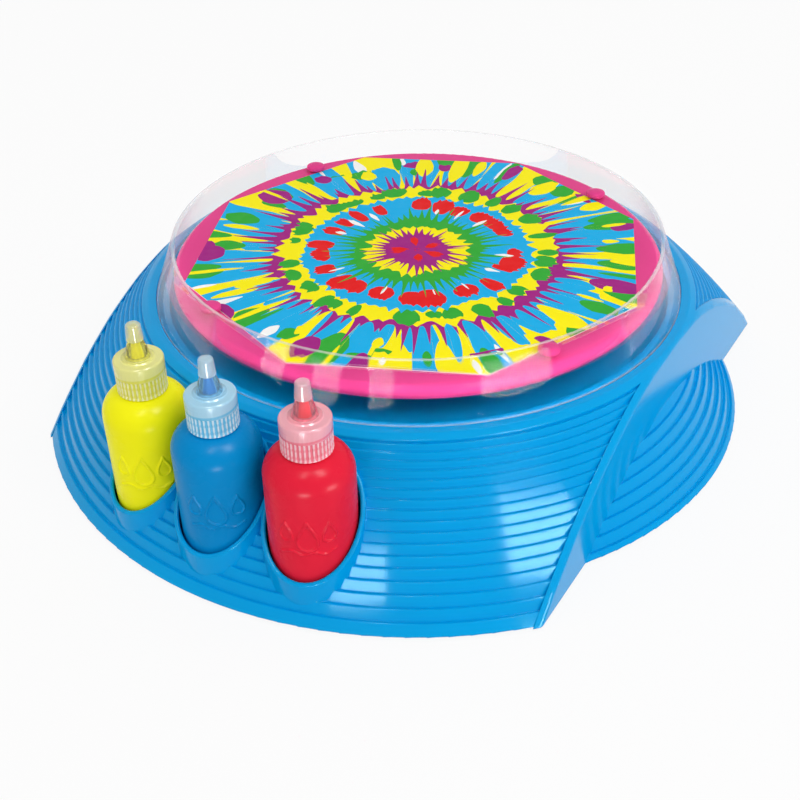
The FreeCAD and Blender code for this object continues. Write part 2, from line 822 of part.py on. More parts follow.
# ---- underside

def in_bay(across, along, z=0.0):
    """A point given from the bay's centre, across the cells and along them."""
    return polar(bay_centre_radius + across, bay_angle) + polar(along, bay_angle + 90, z)


def bay_box(width, length, z0, z1, shift=0.0):
    return box_at(in_bay(shift, 0, (z0 + z1) / 2), (width, length, z1 - z0), bay_angle)


def door_panel(gap, top):
    """The door's flat panel; it reaches past the bay on its screw side."""
    extra = 2 * door_screw_reach - door_lip
    width = bay_width + 2 * door_lip + extra + 2 * gap
    return bay_box(width, bay_length + 2 * door_lip + 2 * gap, plate_bottom, top, extra / 2)


def door_screw_place(z=0.0):
    return in_bay(bay_width / 2 + door_screw_reach, 0, z)


def footprint():
    """The plate's outline: the shell's own, a little way in, with a notch for the cups."""
    tall = disc(main_foot_radius - plate_inset, plate_bottom, plate_top)
    tall = tall.common(slab(flat_distance - wall - plate_gap))
    plate = tall.fuse(disc(recess_foot_radius - plate_inset, plate_bottom, plate_top)).removeSplitter()
    plate = turned_by(plate, flat_angle)
    for colour in cup_order:
        plate = plate.cut(disc(cup_outer_radius + plate_gap, 0, shelf_height, cup_position(colour)))
    notch = (cup_outer_radius + cup_foot_clear, 2 * cup_ring_radius * math.sin(math.radians(cup_step)), plate_top * 2)
    return plate.cut(box_at(polar(cup_ring_radius + notch[0] / 2, cup_middle_angle, plate_top), notch, cup_middle_angle))


def bottom_plate():
    bay = bay_box(bay_width + 2 * bay_wall, bay_length + 2 * bay_wall, plate_bottom, bay_roof + bay_wall)
    boss = disc(bush_radius + bush_seat_wall, plate_bottom, lower_bush_top - bush_flange)
    screw_top = plate_bottom + door_screw_length + bay_wall
    screw_boss = disc(door_screw_boss, plate_bottom, screw_top, door_screw_place())
    plate = fuse_all([footprint(), bay, boss, screw_boss])
    plate = plate.cut(bay_box(bay_width, bay_length, 0, bay_roof))
    plate = plate.cut(door_panel(door_gap, plate_bottom + door_rebate))
    plate = plate.cut(disc(bush_radius, thrust_floor, shelf_height))
    plate = plate.cut(cyl(screw_radius, door_screw_length + bay_clear, door_screw_place(plate_bottom)))
    for place in plate_screw_places():
        plate = plate.cut(disc(screw_radius + hole_gap, 0, shelf_height, place))
        plate = plate.cut(disc(screw_head_radius + hole_gap, 0, plate_bottom + screw_head_height, place))
    for place in foot_places():
        plate = plate.cut(disc(foot_radius + seat_fit, 0, plate_bottom + foot_socket_depth, place))
    for place in tab_places(bay_wall):
        plate = plate.cut(box_at(place, (tab_width + hole_gap, 3 * bay_wall, contact_thickness + hole_gap), bay_angle))
    return plate


def base_screws():
    screw = cap_screw(screw_length)
    return Part.makeCompound([moved(screw, place) for place in plate_screw_places(plate_bottom + screw_head_height)])


def foot_places():
    return [polar(foot_ring_radius, angle) for angle in foot_angles]


def rubber_feet():
    top = plate_bottom + foot_socket_depth
    foot = turned([(0, 0), (foot_radius, 0, foot_edge_round), (foot_radius, top), (0, top)])
    return Part.makeCompound([moved(foot, place) for place in foot_places()])


def battery_door():
    face = plate_bottom + door_rebate - face_gap
    door = door_panel(0.0, face)
    frame = bay_box(bay_width - 2 * door_gap, bay_length - 2 * door_gap, plate_bottom, plate_top)
    inner = door_gap + door_rim
    frame = frame.cut(bay_box(bay_width - 2 * inner, bay_length - 2 * inner, face, 2 * plate_top))
    door = fuse_all([door, frame])
    return door.cut(disc(screw_radius + hole_gap, 0, plate_top, door_screw_place()))


def door_screw():
    return moved(cap_screw(door_screw_length), door_screw_place(plate_bottom))


def cell_across(i):
    return (i - (cell_count - 1) / 2) * cell_pitch


def nub_side(i):
    """Neighbouring cells lie head to tail."""
    return 1 if i % 2 else -1


def battery_cells():
    whole = cell_length + cell_nub_length
    cell = turned([(0, 0), (cell_radius, 0, cell_edge_round), (cell_radius, cell_length, cell_edge_round),
                   (cell_nub_radius, cell_length), (cell_nub_radius, whole), (0, whole)])
    cells = []
    for i in range(cell_count):
        lying = cell.copy()
        lying.rotate(origin, Vec(1, 0, 0), -90 * nub_side(i))
        lying.rotate(origin, zAxis, bay_angle)
        cells.append(moved(lying, in_bay(cell_across(i), -nub_side(i) * whole / 2, cell_height)))
    return Part.makeCompound(cells)


def tab_places(length):
    """Middles of the two solder tabs, each so long outside the bay's end."""
    along = -(bay_length + length) / 2
    return [in_bay(cell_across(i), along, cell_height + tab_rise) for i in (0, cell_count - 1)]


def contact_plates():
    """Links that join two cells, and a single plate with a solder tab at each end of the row."""
    size = (2 * contact_margin, contact_thickness, contact_height)
    linked = (cell_pitch + 2 * contact_margin, contact_thickness, contact_height)
    wall_at = (bay_length - contact_thickness) / 2
    plates = []
    for i in range(cell_count - 1):
        middle = in_bay(cell_across(i + 0.5), -nub_side(i) * wall_at, cell_height)
        plates.append(box_at(middle, linked, bay_angle))
    tab_size = (tab_width, bay_wall + tab_reach, contact_thickness)
    for i, tab_place in zip((0, cell_count - 1), tab_places(bay_wall + tab_reach)):
        single = box_at(in_bay(cell_across(i), -wall_at, cell_height), size, bay_angle)
        plates.append(fuse_all([single, box_at(tab_place, tab_size, bay_angle)]))
    return Part.makeCompound(plates)


def contact_spring(is_nub):
    """A bent leaf, its foot on the contact plate and its crest against the cell's end."""
    thick = contact_thickness
    reach = bay_end_gap - contact_thickness - face_gap
    crest = leaf_rise - leaf_foot
    points = [Vec(0, 0, -leaf_foot), Vec(0, thick, -leaf_foot), Vec(0, thick, 0), Vec(0, reach, crest),
              Vec(0, reach, leaf_foot), Vec(0, reach - thick, leaf_foot), Vec(0, reach - thick, crest + thick),
              Vec(0, 0, thick)]
    leaf = Part.Face(Part.makePolygon(points + [points[0]])).extrude(Vec(leaf_width, 0, 0))
    return moved(leaf, Vec(-leaf_width / 2, 0, -leaf_drop if is_nub else 0))


def contact_springs():
    leaves = []
    for i in range(cell_count):
        for side in (1, -1):
            leaf = turned_by(contact_spring(nub_side(i) == side), bay_angle + (180 if side > 0 else 0))
            start = side * (bay_length / 2 - contact_thickness)
            leaves.append(moved(leaf, in_bay(cell_across(i), start, cell_height)))
    return Part.makeCompound(leaves)


# ---- power button and switch

def along_button(radius, near, far):
    """A cylinder on the button's axis between two depths inside the far flat."""
    return cyl(radius, far - near, on_far_flat(near, 0, button_height), polar(-1.0, far_flat))


def power_button():
    front = on_far_flat(-button_proud, 0, button_height)
    cap = along_button(button_radius, -button_proud, wall + flange_gap)
    rims = [e for e in cap.Edges if e.Closed and e.BoundBox.Center.distanceToPoint(front) < 0.01]
    cap = cap.makeFillet(button_round, rims)
    back = wall + flange_gap + button_flange
    flange = along_button(button_radius + button_flange_reach, wall + flange_gap, back)
    stem = along_button(button_stem_radius, wall + flange_gap, back + button_stem_length)
    return fuse_all([cap, flange, stem])


def power_switch():
    middle = on_far_flat(switch_front + switch_depth / 2, 0, button_height)
    body = box_at(middle, (switch_depth, switch_width, switch_tall), far_flat)
    bore = along_button(button_stem_radius + running_gap, switch_front, switch_back - switch_back_wall)
    pieces = [body.cut(bore)]
    for side in (-1, 1):
        lug = on_far_flat(switch_back + switch_lug_length / 2, side * switch_lug_side, button_height)
        pieces.append(box_at(lug, (switch_lug_length, switch_lug_width, switch_lug_height), far_flat))
    return fuse_all(pieces)


# ---- leads

def lead(points):
    """A wire through the points: straight runs joined by tangent arcs as large as the runs allow."""
    pieces = []
    last = points[0]
    for i in range(1, len(points) - 1):
        before = points[i - 1] - points[i]
        after = points[i + 1] - points[i]
        reach = 0.45 * min(before.Length, after.Length)
        a = before.normalize()
        b = after.normalize()
        half = math.acos(max(-1.0, min(1.0, a.dot(b)))) / 2
        radius = reach * math.tan(half)
        start = points[i] + a * reach
        pieces.append(cyl(lead_radius, last.distanceToPoint(start), last, start - last))
        centre = points[i] + (a + b).normalize() * (radius / math.sin(half))
        section = Part.Face(Part.Wire(Part.Circle(start, a, lead_radius).toShape()))
        pieces.append(section.revolve(centre, b.cross(a), 180 - math.degrees(2 * half)))
        last = points[i] + b * reach
    pieces.append(cyl(lead_radius, last.distanceToPoint(points[-1]), last, points[-1] - last))
    return fuse_all(pieces)


def lead_routes():
    """Each lead ends on the contact tabs, the motor's lugs or the switch's lugs."""
    tab_end = (bay_wall + tab_reach) * 2
    inner_tab, outer_tab = tab_places(tab_end)
    motor_right, motor_left = [place + polar(motor_lug_length / 2, motor_angle) for place in motor_lug_places()]
    lug_end = switch_back + switch_lug_length
    switch_low = on_far_flat(lug_end, switch_lug_side, button_height)
    switch_high = on_far_flat(lug_end, -switch_lug_side, button_height)
    away = polar(-1.0, bay_angle + 90)
    inward = polar(-1.0, far_flat)
    outward = polar(1.0, motor_angle)
    return {
        "battery_motor_lead": [inner_tab, inner_tab + away * 9, Vec(-56, 2, 24), Vec(-42, 24, 31), Vec(-22, 42, 33),
                               Vec(-2, 50, 31), motor_left + outward * 7, motor_left],
        "battery_switch_lead": [outer_tab, outer_tab + away * 8, Vec(-82, -32, 22), Vec(-80, -12, 30),
                                Vec(-76, 10, 35), Vec(-72, 28, 35.6), switch_low + inward * 9, switch_low],
        "switch_motor_lead": [switch_high, switch_high + inward * 10, Vec(-64, 62, 37), Vec(-46, 68, 38),
                              Vec(-24, 66, 36), Vec(-2, 60, 33), motor_right + outward * 12, motor_right],
    }


# ---- bottles

def shoulder_points(inset):
    """Points from the top of the straight side to the neck, a fifth of the quarter turn at a time."""
    points = []
    span = bottle_radius - neck_radius
    for step in range(5):
        a = math.radians(90 - step * 18)
        radius = neck_radius + span * math.sin(a) - inset
        points.append((radius, shoulder_start + shoulder_height * math.cos(a) - inset / 2, shoulder_round))
    return points


def bottle():
    foot = bottle_foot + bottle_kick
    outside = [(0, foot), (bottle_radius - bottle_ring, foot), (bottle_radius - bottle_ring + bottle_kick, bottle_foot),
               (bottle_radius, bottle_foot, bottle_foot_round)]
    outside += shoulder_points(0.0) + [(neck_radius, neck_foot, bottle_kick), (neck_radius, neck_top)]
    inner_neck = neck_radius - neck_wall
    inner_radius = bottle_radius - bottle_wall
    inside = [(inner_neck, neck_top), (inner_neck, neck_foot - bottle_wall)]
    inside += [(r, z) for r, z, soft in reversed(shoulder_points(bottle_wall)) if r > inner_neck + bottle_wall]
    floor = bottle_foot + bottle_bottom
    inside += [(inner_radius, floor, bottle_foot_round - bottle_wall), (0, floor)]
    return turned(outside + inside)


def paint_fill():
    radius = bottle_radius - bottle_wall - paint_gap
    floor = bottle_foot + bottle_bottom
    level = bottle_foot + paint_level
    return turned([(0, floor), (radius, floor, bottle_foot_round), (radius, level), (0, level)])


def nozzle_cap():
    """A screw collar with a tapering nozzle; a low ring stands round the nozzle's foot."""
    inner = neck_radius + thread_gap
    ring_radius = nozzle_foot_radius + nozzle_ring_width
    ring_top = collar_top + nozzle_ring_height
    return turned([
        (inner, collar_bottom), (collar_radius, collar_bottom, thread_gap), (collar_radius, collar_top, collar_round),
        (ring_radius, collar_top), (ring_radius - nozzle_ring_height, ring_top), (nozzle_foot_radius, ring_top),
        (nozzle_step_radius, tip_cap_bottom), (nozzle_tip_radius, tip_cap_bottom),
        (nozzle_tip_radius - nozzle_taper, nozzle_top), (nozzle_bore_radius, nozzle_top),
        (nozzle_foot_radius - nozzle_wall, neck_top), (inner, neck_top)])


def tip_cap():
    inside = nozzle_top + tip_gap
    top = inside + tip_cap_wall
    return turned([
        (nozzle_tip_radius + tip_gap, tip_cap_bottom), (tip_cap_radius, tip_cap_bottom),
        (tip_cap_radius - tip_cap_taper, top, tip_cap_round), (0, top), (0, inside),
        (nozzle_tip_radius - nozzle_taper + tip_gap, inside)])


# ---- build

def export(name, shape):
    shape.exportStep("parts/" + name + ".step")
    box = shape.BoundBox
    print(name, "solids", len(shape.Solids), "valid", shape.isValid(), "volume", round(shape.Volume, 1),
          "z", round(box.ZMin, 2), round(box.ZMax, 2))


os.makedirs("parts", exist_ok=True)
export("base_shell", base_shell())
export("bottom_plate", bottom_plate())
export("base_screws", base_screws())
export("rubber_feet", rubber_feet())
export("splash_guard", splash_guard())
export("turntable_tray", turntable_tray())
export("paper_pegs", paper_pegs())
export("spin_card", spin_card())
export("hub_screw", hub_screw())
export("spindle_shaft", spindle_shaft())
export("shaft_clip", shaft_clip())
export("upper_bush", flanged_bush(upper_bush_bottom, upper_bush_top))
export("lower_bush", flanged_bush(thrust_floor, lower_bush_top))
export("spindle_gear", spindle_gear())
export("motor_pinion", motor_pinion())
export("motor_shaft", motor_shaft())
export("motor_can", motor_can())
export("motor_bracket", motor_bracket())
export("bracket_screws", bracket_screws())
export("battery_cells", battery_cells())
export("contact_plates", contact_plates())
export("contact_springs", contact_springs())
export("battery_door", battery_door())
export("door_screw", door_screw())
export("power_button", power_button())
export("power_switch", power_switch())
for name, route in lead_routes().items():
    export(name, lead(route))
for colour in cup_order:
    place = cup_position(colour)
    export("bottle_" + colour, moved(bottle(), place))
    export("paint_" + colour, moved(paint_fill(), place))
    export("nozzle_cap_" + colour, moved(nozzle_cap(), place))
    export("tip_cap_" + colour, moved(tip_cap(), place))
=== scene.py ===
import bpy
import bmesh
import math
import numpy as np
from mathutils import Matrix, Vector


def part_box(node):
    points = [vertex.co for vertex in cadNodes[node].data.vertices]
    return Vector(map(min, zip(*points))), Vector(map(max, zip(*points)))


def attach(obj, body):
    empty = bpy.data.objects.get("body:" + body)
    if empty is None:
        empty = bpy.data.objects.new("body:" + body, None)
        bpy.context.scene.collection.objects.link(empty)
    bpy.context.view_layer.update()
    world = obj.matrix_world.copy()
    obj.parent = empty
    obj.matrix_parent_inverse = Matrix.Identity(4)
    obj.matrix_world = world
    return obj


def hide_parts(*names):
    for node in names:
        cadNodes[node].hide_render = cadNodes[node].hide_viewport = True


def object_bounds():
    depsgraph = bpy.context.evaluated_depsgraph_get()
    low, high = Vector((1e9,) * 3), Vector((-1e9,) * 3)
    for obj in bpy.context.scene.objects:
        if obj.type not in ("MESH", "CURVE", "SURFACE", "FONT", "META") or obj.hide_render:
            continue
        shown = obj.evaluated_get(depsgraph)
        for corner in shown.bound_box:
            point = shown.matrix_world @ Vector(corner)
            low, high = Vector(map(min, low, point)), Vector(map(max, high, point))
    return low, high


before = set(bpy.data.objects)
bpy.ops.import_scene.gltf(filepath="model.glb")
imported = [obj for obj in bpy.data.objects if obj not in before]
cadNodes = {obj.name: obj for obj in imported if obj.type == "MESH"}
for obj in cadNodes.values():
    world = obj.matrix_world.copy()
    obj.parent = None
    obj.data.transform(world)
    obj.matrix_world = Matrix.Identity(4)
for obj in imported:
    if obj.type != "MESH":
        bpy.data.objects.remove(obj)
cadLow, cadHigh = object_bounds()
mm = 0.001
paintColours = ("red", "blue", "yellow")
print("frame loaded,", len(cadNodes), "nodes")


# colours and nodes

def srgb(red, green, blue):
    channels = [c / 255 for c in (red, green, blue)]
    return tuple(c / 12.92 if c < 0.04045 else ((c + 0.055) / 1.055) ** 2.4 for c in channels) + (1.0,)


def placeNode(tree, kind, sockets=None, **settings):
    # each socket gets a value, or is joined to another node's socket
    item = tree.nodes.new(kind)
    for key, value in settings.items():
        setattr(item, key, value)
    for key, value in (sockets or {}).items():
        if isinstance(value, bpy.types.NodeSocket):
            tree.links.new(value, item.inputs[key])
        else:
            item.inputs[key].default_value = value
    return item


def addNode(tree, kind, sockets=None, **settings):
    return placeNode(tree, "ShaderNode" + kind, sockets, **settings)


def calc(tree, operation, first, second=0.0, third=0.0):
    return addNode(tree, "Math", {0: first, 1: second, 2: third}, operation=operation).outputs[0]


def mixColour(tree, factor, first, second):
    return addNode(tree, "Mix", {0: factor, 6: first, 7: second}, data_type="RGBA").outputs[2]


def ramp(tree, value, start, end, low=0.0, high=1.0):
    sockets = {"Value": value, "From Min": start, "From Max": end, "To Min": low, "To Max": high}
    return addNode(tree, "MapRange", sockets, interpolation_type="SMOOTHSTEP").outputs[0]


def objectPlace(tree):
    return addNode(tree, "TexCoord").outputs["Object"]


def levelParts(tree, place):
    # a place's three coordinates, and the level vector from the upright axis to it
    parts = addNode(tree, "SeparateXYZ", {0: place}).outputs
    return parts, addNode(tree, "CombineXYZ", {0: parts[0], 1: parts[1]}).outputs[0]


def lengthOf(tree, vector):
    return addNode(tree, "VectorMath", {0: vector}, operation="LENGTH").outputs["Value"]


def objectNoise(tree, scale, detail=3.0, stretch=(1, 1, 1)):
    place = addNode(tree, "Mapping", {"Vector": objectPlace(tree), "Scale": stretch}).outputs[0]
    return addNode(tree, "TexNoise", {"Vector": place, "Scale": scale, "Detail": detail}).outputs[0]


def noiseRamp(tree, scale, gives=(0.0, 1.0), detail=3.0, stretch=(1, 1, 1), between=(0.3, 0.7)):
    # noise between two levels, spread over the values that it gives
    return ramp(tree, objectNoise(tree, scale, detail, stretch), *between, *gives)


def tones(colour, amount):
    return [tuple(min(1.0, c * (1 + side * amount)) for c in colour[:3]) + (1.0,) for side in (-1, 1)]


def startMaterial(name, constants):
    material = bpy.data.materials.new(name)
    material.use_nodes = True
    shader = material.node_tree.nodes["Principled BSDF"]
    for key, value in constants.items():
        shader.inputs[key].default_value = value
    return material, material.node_tree, shader


def feed(tree, shader, sockets):
    for key, value in sockets.items():
        tree.links.new(value, shader.inputs[key])


# tone is the share by which the colour varies, gloss a range of roughness, and edgeRound is in mm
looks = {
    "glossyShell": {"tone": 0.025, "cloudScale": 12, "gloss": (0.09, 0.15),
                    "grainScale": 300, "grainDepth": 4e-6, "edgeRound": 0.45},
    "softBottle": {"tone": 0.03, "cloudScale": 45, "gloss": (0.22, 0.32),
                   "grainScale": 500, "grainDepth": 4e-6},
    "mattePlastic": {"tone": 0.05, "cloudScale": 22, "gloss": (0.42, 0.56),
                     "grainScale": 1400, "grainDepth": 4e-5},
    "drawnMetal": {"tone": 0.10, "cloudScale": 90, "gloss": (0.22, 0.40),
                   "grainScale": 900, "grainDepth": 8e-6, "stretch": (1, 1, 0.05)},
    "rubber": {"tone": 0.15, "cloudScale": 60, "gloss": (0.65, 0.8),
               "grainScale": 1800, "grainDepth": 5e-5},
    "wetPaint": {"tone": 0.06, "cloudScale": 70, "gloss": (0.1, 0.2),
                 "grainScale": 150, "grainDepth": 2e-5},
}
unevenness = {"detail": 2.0, "toneBetween": (0.25, 0.75), "glossBetween": (0.2, 0.8), "glossFiner": 2.3,
              "edgeSamples": 6}


def addGrain(tree, shader, look):
    grain = objectNoise(tree, look["grainScale"], unevenness["detail"], look.get("stretch", (1, 1, 1)))
    bump = addNode(tree, "Bump", {"Height": grain, "Strength": 1.0, "Distance": look["grainDepth"]})
    if "edgeRound" in look:
        sockets = {"Radius": look["edgeRound"] * mm}
        rounded = addNode(tree, "Bevel", sockets, samples=unevenness["edgeSamples"])
        tree.links.new(rounded.outputs[0], bump.inputs["Normal"])
    tree.links.new(bump.outputs[0], shader.inputs["Normal"])


def finish(name, colour, look, **constants):
    # an even moulded, drawn or painted surface: slow changes of tone and gloss, and a fine grain
    material, tree, shader = startMaterial(name, constants)
    dark, light = tones(colour, look["tone"])
    scale, fineScale = look["cloudScale"], look["cloudScale"] * unevenness["glossFiner"]
    cloud = noiseRamp(tree, scale, detail=unevenness["detail"], between=unevenness["toneBetween"])
    patch = noiseRamp(tree, fineScale, look["gloss"], between=unevenness["glossBetween"])
    feed(tree, shader, {"Base Color": mixColour(tree, cloud, dark, light), "Roughness": patch})
    addGrain(tree, shader, look)
    return material


def dress(node, material):
    mesh = cadNodes[node].data
    mesh.materials.clear()
    mesh.materials.append(material)


# bought and hidden pieces: a colour, a look and the shader's settings for each finish

metal = {"Metallic": 1.0}
innerFinishes = {
    "steel": (srgb(186, 188, 192), "drawnMetal", metal),
    "brightZinc": (srgb(206, 210, 214), "drawnMetal", metal),
    "motorCase": (srgb(168, 170, 172), "drawnMetal", metal),
    "springBronze": (srgb(214, 196, 150), "drawnMetal", metal),
    "whiteGear": (srgb(238, 238, 232), "mattePlastic", {}),
    "nylon": (srgb(226, 222, 208), "mattePlastic", {}),
    "blackSwitch": (srgb(28, 28, 30), "mattePlastic", {}),
    "blackRubber": (srgb(34, 34, 36), "rubber", {}),
    "redLead": (srgb(196, 22, 26), "mattePlastic", {}),
    "blackLead": (srgb(24, 24, 26), "mattePlastic", {}),
}
finishOfNode = {
    "spindle_shaft": "steel", "motor_shaft": "steel", "shaft_clip": "steel", "hub_screw": "brightZinc",
    "bracket_screws": "brightZinc", "base_screws": "brightZinc", "door_screw": "brightZinc",
    "motor_can": "motorCase", "motor_bracket": "whiteGear", "contact_plates": "springBronze",
    "contact_springs": "springBronze", "spindle_gear": "whiteGear", "motor_pinion": "whiteGear",
    "upper_bush": "nylon", "lower_bush": "nylon", "power_switch": "blackSwitch",
    "rubber_feet": "blackRubber", "battery_motor_lead": "redLead", "battery_switch_lead": "blackLead",
    "switch_motor_lead": "blackLead",
}


def dressInside():
    made = {}
    for name, (colour, look, constants) in innerFinishes.items():
        made[name] = finish(name, colour, looks[look], **constants)
    for node, name in finishOfNode.items():
        dress(node, made[name])


# printed sleeves of the cells, in mm from their middle: half a cell's length, its bare end, and its band
cellWrap = {"bearing": -30.0, "reach": 24.6, "bareEnd": 1.6, "band": 7.0, "sleeve": srgb(24, 60, 54),
            "bandColour": srgb(214, 190, 96), "scuff": srgb(200, 200, 196), "bare": srgb(205, 206, 208),
            "scuffScale": 260, "scuffDetail": 4.0, "scuffBetween": (0.5, 0.8), "scuffShare": 0.25,
            "glossScale": 120, "gloss": (0.22, 0.36)}


def wrapMaterial():
    material, tree, shader = startMaterial("cellSleeve", {})
    low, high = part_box("battery_cells")
    middle = (low + high) / 2
    sockets = {"Vector": objectPlace(tree), "Center": middle, "Angle": -math.radians(cellWrap["bearing"])}
    aligned = addNode(tree, "VectorRotate", sockets, rotation_type="Z_AXIS").outputs[0]
    offset = addNode(tree, "VectorMath", {0: aligned, 1: middle}, operation="SUBTRACT").outputs[0]
    along = calc(tree, "ABSOLUTE", addNode(tree, "SeparateXYZ", {0: offset}).outputs[0])
    bare = calc(tree, "GREATER_THAN", along, (cellWrap["reach"] - cellWrap["bareEnd"]) * mm)
    band = calc(tree, "GREATER_THAN", along, (cellWrap["reach"] - cellWrap["band"]) * mm)
    colour = mixColour(tree, band, cellWrap["sleeve"], cellWrap["bandColour"])
    scuff = noiseRamp(tree, cellWrap["scuffScale"], (0.0, cellWrap["scuffShare"]), cellWrap["scuffDetail"],
                      between=cellWrap["scuffBetween"])
    colour = mixColour(tree, scuff, colour, cellWrap["scuff"])
    feed(tree, shader, {"Base Color": mixColour(tree, bare, colour, cellWrap["bare"]), "Metallic": bare,
                        "Roughness": noiseRamp(tree, cellWrap["glossScale"], cellWrap["gloss"])})
    return material


dressInside()
dress("battery_cells", wrapMaterial())
print("inner pieces dressed")


# mouldings that keep their solid's shape

bottleTint = {"red": srgb(232, 34, 60), "blue": srgb(0, 138, 204), "yellow": srgb(253, 247, 22)}
shellGloss = {"IOR": 1.22, "Specular IOR Level": 0.5, "Specular Tint": (0.5, 0.88, 1.0, 1.0)}
trayPlastic = finish("pinkTray", srgb(228, 68, 140), looks["glossyShell"], IOR=1.12)
dress("base_shell", finish("blueShell", srgb(0, 160, 226), looks["glossyShell"], **shellGloss))
dress("bottom_plate", finish("blueUnderside", srgb(0, 136, 198), looks["mattePlastic"]))
dress("battery_door", finish("blueDoor", srgb(0, 142, 206), looks["mattePlastic"]))
dress("turntable_tray", trayPlastic)
dress("paper_pegs", trayPlastic)
dress("power_button", finish("pinkButton", srgb(232, 72, 140), looks["glossyShell"]))
paintFill = {}
for colour in paintColours:
    paintFill[colour] = finish(colour + "Paint", bottleTint[colour], looks["wetPaint"])
    dress("paint_" + colour, paintFill[colour])


# splash guard: clear, with a frosted rim, a painted highlight along its foot line, and a painted sheen that
# makes it paler where it is seen edge on

guardLook = {"rimFrom": 76.1, "rimTo": 76.6, "paintedFootHighlightWidth": 0.45, "paintedSheenFrom": 0.54, "paintedSheenTo": 0.9,
             "paintedSheenShare": 0.9, "wallAlpha": 0.2, "rimAlpha": 0.45, "frostAndPaintedSheen": 0.7, "frostAndSheenRough": 0.4,
             "flowScale": 25, "flowDetail": 1.0, "flowStretch": (1, 1, 0.3), "flow": (0.0, 0.01),
             "tintScale": 18, "tint": (0.992, 0.997, 1, 1)}


def guardMaterial():
    look = guardLook
    material, tree, shader = startMaterial("clearGuard", {"IOR": 1.2, "Specular IOR Level": 0.5})
    parts, level = levelParts(tree, objectPlace(tree))
    rim = ramp(tree, parts[2], look["rimFrom"] * mm, look["rimTo"] * mm)
    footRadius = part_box("splash_guard")[1].x
    # painted highlight: a thin white band round the foot, where the wall meets the base, stands in for light
    # on that edge
    foot = ramp(tree, lengthOf(tree, level), footRadius - look["paintedFootHighlightWidth"] * mm, footRadius)
    # painted sheen: where the wall is seen edge on it is made whiter and less clear, standing in for its
    # reflection
    facing = addNode(tree, "LayerWeight", {"Blend": 0.5}).outputs["Facing"]
    paintedSheen = ramp(tree, facing, look["paintedSheenFrom"], look["paintedSheenTo"], 0.0, look["paintedSheenShare"])
    # the frosted rim, the painted foot highlight and the painted sheen share one mask, which whitens the wall
    # and makes it less clear
    edge = calc(tree, "MAXIMUM", calc(tree, "MAXIMUM", rim, foot), paintedSheen)
    frostAndPaintedSheen = calc(tree, "MULTIPLY", edge, look["frostAndPaintedSheen"])
    flow = noiseRamp(tree, look["flowScale"], look["flow"], look["flowDetail"], look["flowStretch"])
    feed(tree, shader, {
        "Base Color": mixColour(tree, noiseRamp(tree, look["tintScale"]), look["tint"], (1, 1, 1, 1)),
        "Transmission Weight": calc(tree, "SUBTRACT", 1.0, frostAndPaintedSheen),
        "Alpha": ramp(tree, edge, 0, 1, look["wallAlpha"], look["rimAlpha"]),
        "Roughness": calc(tree, "MULTIPLY_ADD", frostAndPaintedSheen, look["frostAndSheenRough"], flow)})
    return material


dress("splash_guard", guardMaterial())
print("mouldings dressed")


# the painted card: paint flung outward by spinning, in bands, teeth and streaks

cardLook = {"rays": 1080, "rings": 26, "firstRing": 0.02, "swirl": 0.012, "swirlTurn": 19, "seed": 29,
            "paper": srgb(246, 245, 242), "printDepth": 0.06, "paintHeight": 0.04, "paintBump": 0.3,
            "ripple": 1.8, "rippleScale": 190.0, "rippleDetail": 2.0, "rippleMiddle": 0.5,
            "glossScale": 200, "gloss": (0.42, 0.58)}
edgeShape = {"waves": (2, 12), "waveFall": 0.7, "waveShare": 2.5, "toothShift": 0.35,
             "toothHalf": (0.4, 0.9), "toothLeast": 0.2, "raggedTeeth": (140, 2.5, 1.2), "heart": (0.3, 0.7)}
sameLevel, farAway = 1e-5, 9.0  # in metres
nearly = 1e-6                   # anything less counts as nothing
inkGreen, inkRed, inkPurple = srgb(48, 170, 52), srgb(232, 20, 22), srgb(162, 30, 130)
inkYellow, inkBlue, inkWhite = srgb(255, 241, 0), srgb(14, 176, 234), srgb(250, 250, 248)
